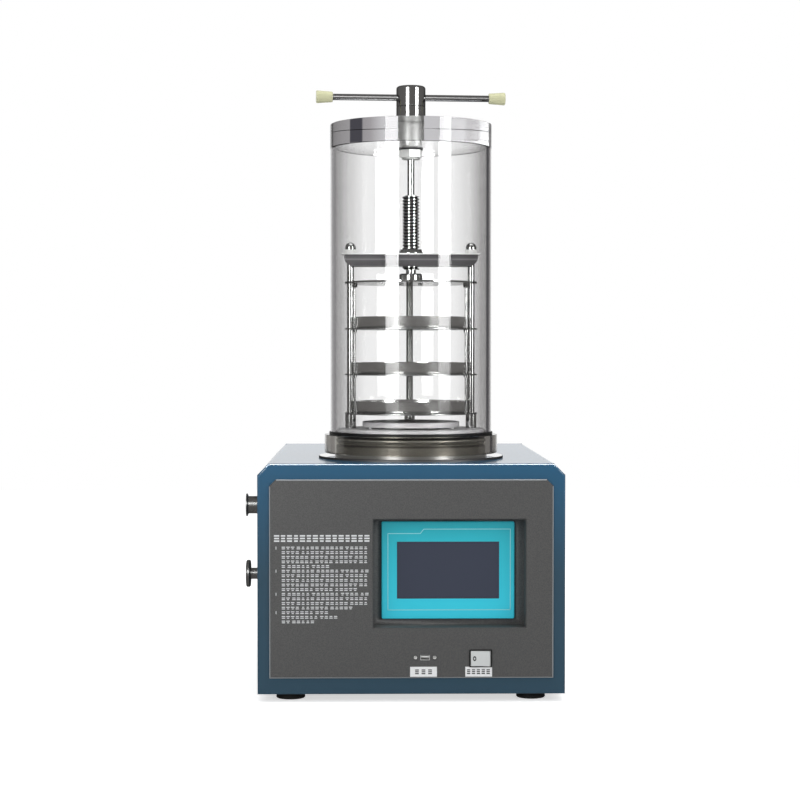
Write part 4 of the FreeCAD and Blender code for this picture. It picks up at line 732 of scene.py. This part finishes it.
# Nitrile rubber: a deep black with a soft sheen from the grease on it.
gasket_rubber = surface("nitrile_rubber_black", "#0E0E0F", roughness=0.5)
z0, z1 = span("gasket")
gasket = turned("gasket_ring", [(113.3, z0), (128.4, z0), (128.9, z0 + 0.6), (128.9, z1 - 0.6), (128.4, z1),
                                (113.3, z1), (113.3, z0)], chamber, 192)
finish(gasket, gasket_rubber, "machine", ["gasket"])


# Clear parts: cast acrylic, turned and polished, so colourless with bright edges. The ring sits in the
# flange's step, the tube stands on the gasket and the lid lies on the tube. Lamps shine through them,
# so the trays inside are lit.
def acrylic(name, tint, edge, start, end):
    """Clear acrylic with painted shade: its body is painted darker where its surface turns away, between two
    facing values.
    """
    made = surface(name, tint, roughness=0.0, ior=1.49)
    tree, shader = nodes_of(made)
    shader.inputs["Transmission Weight"].default_value = 1.0
    turn = add_node(tree, "ShaderNodeLayerWeight", Blend=0.5)
    amount = add_node(tree, "ShaderNodeMapRange", {"Value": turn.outputs["Facing"]}, From_Min=start,
                      From_Max=end)
    body = add_node(tree, "ShaderNodeMix", {"Factor": amount.outputs[0], "A": linear(tint),
                                            "B": linear(edge)}, data_type="RGBA")
    # Painted shade: the colour darkens where the surface turns away.
    tree.links.new(body.outputs[mixed], shader.inputs["Base Color"])
    rays = add_node(tree, "ShaderNodeLightPath")
    clear = add_node(tree, "ShaderNodeBsdfTransparent", Color=linear("#F4F6F6"))
    mix = add_node(tree, "ShaderNodeMixShader", {0: rays.outputs["Is Shadow Ray"], 1: shader.outputs[0],
                                                 2: clear.outputs[0]})
    output = next(n for n in tree.nodes if n.type == "OUTPUT_MATERIAL")
    tree.links.new(mix.outputs[0], output.inputs["Surface"])
    return made


# The tube has painted shade that greys it towards its sides, the lid hardly any, and the ring is faintly
# smoky all over with a little painted shade at its sides.
clear_acrylic = acrylic("cast_acrylic_clear", "#FEFEFE", "#B1B0B0", 0.17, 0.62)
lid_acrylic = acrylic("cast_acrylic_lid", "#FAFAFB", "#E8E7E8", 0.3, 0.9)
ring_acrylic = acrylic("cast_acrylic_ring", "#C9C6BF", "#A3A29C", 0.05, 0.8)
z0, z1 = span("seal_ring")
ring = turned("clear_ring", [(118.3, z0), (135.6, z0), (136.4, z0 + 0.8), (136.4, z1 - 0.8), (135.6, z1),
                             (118.3, z1), (118.3, z0)], chamber, 192)
finish(ring, ring_acrylic, "machine", ["seal_ring"])

z0, z1 = span("chamber_tube")
tube_bore, tube_radius = 119, 126.9
tube = turned("acrylic_tube", [(tube_bore, z0), (tube_radius, z0), (tube_radius, z1), (tube_bore, z1),
                               (tube_bore, z0)], chamber, 256)
finish(tube, clear_acrylic, "machine", ["chamber_tube"])

lid_foot, lid_top = span("lid")
lid = turned("acrylic_lid", [(13.9, lid_foot), (126.9, lid_foot), (127.4, lid_foot + 0.5),
                             (127.4, lid_top - 0.5), (126.9, lid_top), (13.9, lid_top), (13.9, lid_foot)],
             chamber, 256)
finish(lid, lid_acrylic, "machine", ["lid"])


# Gland: turned steel, with a polished head on the lid and a blasted stem through it, clamped from
# below by a pale hexagon nut and a black washer.
polished_steel = surface("stainless_steel_polished", "#CDCECD", metallic=1.0, roughness=0.1, tint="#505050")
blasted_steel = surface("stainless_steel_blasted", "#BCBCBA", metallic=0.7, roughness=0.5)  # even and matt
z0, z1 = span("gland")
head_foot = lid_top + 0.05
gland = turned("gland_turned", [(5.6, z0), (13.6, z0), (13.98, z0 + 0.4), (13.98, head_foot),
                                (22.6, head_foot), (23, lid_top + 0.4), (23, z1 - 0.5), (22.5, z1),
                                (5.6, z1), (5.6, z0)], chamber, 128)
finish(gland, polished_steel, "machine", ["gland"])
second_material(gland, blasted_steel, lambda p: p.z < lid_top + 0.2)
nut = solid_copy("gland_nut", "gland_hex_nut")
break_edges(nut, 0.5)
nut_turn = 21
about_axis = Matrix.Translation(chamber * mm)
nut.data.transform(about_axis @ Matrix.Rotation(radians(nut_turn), 4, "Z") @ about_axis.inverted())
# Acid pickling leaves the nut pale and soft in its shine. The washer is blackened and only just shines.
pickled_steel = surface("stainless_steel_pickled", "#E8E8E6", metallic=0.5, roughness=0.4)
blackened = surface("stainless_steel_blackened", "#1C1C1D", metallic=0.3, roughness=0.45)
finish(nut, pickled_steel, "machine", ["gland_nut"])
dressed("gland_washer", "gland_washer_flat", blackened, "machine")


# Tee handle: a turned hub with a rounded top, a ground cross bar through it, and a tapered ivory
# phenolic knob screwed on each end. The drive rod hangs from the hub.
z0, z1 = span("handle_hub")
hub_outline = [(0, z0), (22.5, z0), (23, z0 + 0.5)] + arc(18.5, z1 - 4.5, 4.5, 0, 90, 10) + [(0, z1)]
hub = turned("hub_turned", hub_outline, chamber, 128)
finish(hub, polished_steel, "handle", ["handle_hub"])
# Ground bar: a little duller than polish, with one soft bright line along it.
ground_steel = surface("stainless_steel_ground", "#C8C8C8", metallic=1.0, roughness=0.22, tint="#505050")
level_turned.objects.link(dressed("handle_bar", "cross_bar", ground_steel, "handle"))
dressed("drive_rod", "drive_rod_round", polished_steel, "handle")

ivory = surface("phenolic_ivory", "#DDDCB4", roughness=0.22, coat=0.3)  # glossy, faintly yellow green
bar_low, bar_high = span("handle_bar")
bar_yaw = radians(4.4)
bar_centre = chamber + Vector((0, 0, (bar_low + bar_high) / 2))
knob_outline = [(5.0, 123.5), (7.6, 123.5), (8.25, 124.2), (9.95, 148.0)] + arc(8.4, 148.0, 1.5, 0, 90, 5) + [
    (0, 149.5)]
knobs = [turned(f"knob_{side}", knob_outline, bar_centre, 64,
                axis=(side * cos(bar_yaw), side * sin(bar_yaw), 0)) for side in (-1, 1)]
finish(joined(knobs, "ivory_knobs"), ivory, "handle", ["handle_knobs"])


# Posts, bridge and nuts: polished rods screwed to the base plate in turned sleeves, a drawn cross bar
# on them with its thin lip painted bright as a painted highlight, a flanged bridge nut, and two domed cap
# nuts that hold the bar.
dressed("side_posts", "side_posts_round", polished_steel, "machine")
dull_steel = surface("stainless_steel_drawn", "#8E8E8C", metallic=1.0, roughness=0.3)  # greyer than polish
dressed("post_back", "back_post_round", dull_steel, "machine")
dressed("post_sleeves", "post_sleeves_turned", polished_steel, "machine", 0.4)
bridge = solid_copy("bridge", "bridge_bar")
bridge_foot, bridge_top = span("bridge")
lip = bridge_top - 2.0
bpy.ops.object.mode_set(mode="EDIT")
bpy.ops.mesh.select_all(action="SELECT")
bpy.ops.mesh.bisect(plane_co=(0, 0, lip * mm), plane_no=(0, 0, 1))
bpy.ops.object.mode_set(mode="OBJECT")
# Drawn bar: grey, with one faint lighter line along its side, a painted highlight, and a little darker
# towards its top. The sheared lip above it is painted pale and matt, a painted highlight, as are the cap
# nuts' skirts.
drawn_bar = surface("stainless_steel_drawn_bar", "#8A888A", metallic=0.8, roughness=0.35)
tree, shader = nodes_of(drawn_bar)
drawn_lines = add_node(tree, "ShaderNodeValToRGB", {0: up_the_piece(tree, bridge_foot, lip)})
set_bands(drawn_lines, [(0.0, "#646264"), (0.35, "#605E60"), (0.5, "#686668"), (0.58, "#8E8C8E"),
                        (0.66, "#686668"), (1.0, "#525052")], 0, 1)
# Painted highlight: one lighter line is painted along the bar.
tree.links.new(drawn_lines.outputs[0], shader.inputs["Base Color"])
finish(bridge, drawn_bar, "machine", ["bridge"])
sheared_edge = surface("stainless_steel_sheared", "#DCDCDA", metallic=0.1, roughness=0.5)
# Painted highlight: the lip is painted pale.
second_material(bridge, sheared_edge, lambda p: p.z > lip)
dressed("bridge_nut", "bridge_nut_flanged", polished_steel, "machine")
cap_nuts = dressed("acorn_nuts", "domed_cap_nuts", polished_steel, "machine", 0.3, 40)
# Painted highlight: the cap nuts' skirts are painted pale.
second_material(cap_nuts, sheared_edge, lambda p: bridge_top + 0.5 < p.z < bridge_top + 5.0)


# Press screw: a steel screw with a cut trapezoidal thread, a collar, and a neck that the swivel foot holds.
# It runs in the bridge nut. The real one is hollow; this mesh is solid under its collar.
crest, root, pitch = 13.2, 10.9, 5.0
screw_foot, screw_end = span("press_screw")
thread_low, thread_high = screw_foot + 19.2, screw_end - 1.6
turns = int((thread_high - thread_low) / pitch) + 3
thread = profile("press_screw_thread", [(radius, thread_low + part * pitch) for radius, part in (
    (root, -1.5), (root, -1.2), (crest, -1.05), (crest, -0.65), (root, -0.5))])
bpy.ops.object.mode_set(mode="OBJECT")
winding = thread.modifiers.new("winding", "SCREW")
winding.axis = "Z"
winding.angle = 2 * pi
winding.screw_offset = pitch * mm
winding.iterations = turns
winding.steps = winding.render_steps = 40
winding.use_merge_vertices = True
bpy.ops.object.modifier_apply(modifier="winding")
bpy.ops.object.mode_set(mode="EDIT")
bpy.ops.mesh.select_all(action="SELECT")
bpy.ops.mesh.remove_doubles(threshold=0.01 * mm)
for level, keep_above in ((thread_low, True), (thread_high, False)):
    bpy.ops.mesh.select_all(action="SELECT")
    bpy.ops.mesh.bisect(plane_co=Vector((0, 0, level)) * mm, plane_no=(0, 0, 1), use_fill=True,
                        clear_inner=keep_above, clear_outer=not keep_above)
bpy.ops.mesh.select_all(action="SELECT")
bpy.ops.mesh.normals_make_consistent(inside=False)
bpy.ops.object.mode_set(mode="OBJECT")
thread.data.transform(Matrix.Translation(chamber * mm))
neck, neck_top = 7.75, screw_foot + 4
lower = turned("screw_neck", [(0, screw_foot), (10.6, screw_foot), (11, screw_foot + 0.4),
                              (11, screw_foot + 3.6), (10.6, neck_top), (neck, neck_top), (neck, thread_low),
                              (0, thread_low)], chamber, 64)
rod_bore, collar = 5.6, 9
upper = turned("screw_collar", [(rod_bore, thread_high), (collar, thread_high), (collar, screw_end - 0.4),
                                (8.6, screw_end), (rod_bore, screw_end), (rod_bore, thread_high)],
               chamber, 64)
screw = finish(joined([thread, lower, upper], "press_screw_cut"), polished_steel, "screw",
               ["press_screw"])
# Thread steel with painted shade: its roots are painted dark, for the shade that falls in them, and its
# crests keep the bright steel colour. The change lies between two distances from the screw's axis.
grease_out, wiped_out = 11.3, 12.9
greased_steel = surface("stainless_steel_greased", "#CDCECD", metallic=1.0, roughness=0.1, tint="#505050")
tree, shader = nodes_of(greased_steel)
coords = add_node(tree, "ShaderNodeTexCoord")
from_axis = add_node(tree, "ShaderNodeMapping", {"Vector": coords.outputs["Object"]}, Location=-chamber * mm,
                     Scale=(1, 1, 0))
depth = add_node(tree, "ShaderNodeVectorMath", {0: from_axis.outputs[0]}, operation="LENGTH")
wiped = add_node(tree, "ShaderNodeMapRange", {"Value": depth.outputs["Value"]}, From_Min=grease_out * mm,
                 From_Max=wiped_out * mm)
grease = add_node(tree, "ShaderNodeMix", {"Factor": wiped.outputs[0], "A": linear("#262524"),
                                          "B": linear("#CDCECD")}, data_type="RGBA")
tree.links.new(grease.outputs[mixed], shader.inputs["Base Color"])
# Painted shade: the thread's roots are painted dark.
second_material(screw, greased_steel,
                lambda p: thread_low < p.z < thread_high and (p - chamber).to_2d().length > 9.5)


# Press plate, swivel foot and hangers: a polished plate that mirrors the rods above it, bolted to
# the foot by two cap screws, and two thin rods with collars that carry the upper shelves.
dressed("screw_foot_cap", "swivel_foot", polished_steel, "press")
dressed("press_plate", "press_disc", polished_steel, "press", 0.3, 60)
plate_foot = span("press_plate")[0]
cap_outline = [(0, -2.4), (3.1, -2.4), (3.5, -2.0), (3.5, 0), (0, 0)]
heads = [turned("cap_screw", cap_outline, chamber + Vector((x, 0, plate_foot)), 24) for x in (-15, 15)]
finish(joined(heads, "foot_cap_screws"), satin_steel, "press")
dressed("hanger_rods", "hanger_rods_round", polished_steel, "press")
dressed("hanger_collars", "hanger_collars_turned", polished_steel, "press")


# Shelves: flat discs of stainless sheet with deburred rims, the upper two hung on the rods' collars,
# and on each a pressed round tray with a plain rim and slightly leaning walls.

# Pressed sheet: bright from the rolling mill, so it mirrors softly even at a low angle.
pressed_steel = surface("stainless_steel_pressed", "#ECECEA", metallic=1.0, roughness=0.17, tint="#FFFFFF")


def pressed_tray(node, name, body):
    """A tray turned about the chamber's axis, of 1 mm sheet."""
    z0, z1 = span(node)
    outline = ([(0, z0), (84.5, z0)] + arc(84.6, z0 + 2, 2, -90, -5, 5)
               + [(87.9, z1 - 0.4), (87.5, z1), (87.1, z1)] + arc(84.6, z0 + 2.2, 1.2, -5, -90, 4)
               + [(0, z0 + 1)])
    finish(turned(name, outline, chamber, 160), pressed_steel, body, [node])


for level, body in (("bottom", "machine"), ("middle", "press"), ("upper", "press")):
    dressed(f"shelf_{level}", f"shelf_{level}_disc", satin_steel, body, 0.3, 60)
    pressed_tray(f"tray_{level}", f"tray_{level}_pressed", body)


# Trap cover and base plate: a shallow pressed pan that stands on low pads over the cold trap's mouth,
# and the turned plate that carries the posts. Both are matt, so they look pale and even.
matt_steel = surface("stainless_steel_matt", "#D0CECF", metallic=0.35, roughness=0.55)
dressed("trap_cover", "trap_cover_pressed", matt_steel, "machine")
z0, z1 = span("base_plate")
plate = turned("base_plate_turned", [(66, z0), (115.9, z0), (115.9, z1 - 1), (114.9, z1), (66, z1), (66, z0)],
               chamber, 192)
finish(plate, matt_steel, "machine", ["base_plate"])


# Inside the cabinet, seen only through the louvres and the grille: copper lines and coil, aluminium
# fins, black paint on the compressor and motor, grey foam and a green board. The CAD pieces stay.
copper = surface("copper_tube", "#B87654", metallic=1.0, roughness=0.35)  # drawn, warm and soft
fins = surface("aluminium_fin_stock", "#C4C6C8", metallic=1.0, roughness=0.4)  # thin and pale
black_paint = surface("gloss_paint_black", "#101112", roughness=0.25)  # thick and shiny
foam = surface("nitrile_foam_grey", "#3A3B3C", roughness=0.95)  # dull, closed cells
laminate = surface("glass_laminate_green", "#1F5A34", roughness=0.4)  # solder resist
inside = {copper: ("evaporator_coil", "suction_pipe", "discharge_pipe", "liquid_line"), fins: ("condenser",),
          zinc: ("fan_shroud",), black_paint: ("compressor", "fan_motor"), black_nylon: ("fan",),
          black_rubber: ("compressor_grommets",), foam: ("trap_jacket",), laminate: ("control_board",),
          satin_steel: ("cold_trap",)}
for material, nodes in inside.items():
    for node in nodes:
        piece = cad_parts[node]
        piece.data.materials.clear()
        piece.data.materials.append(material)
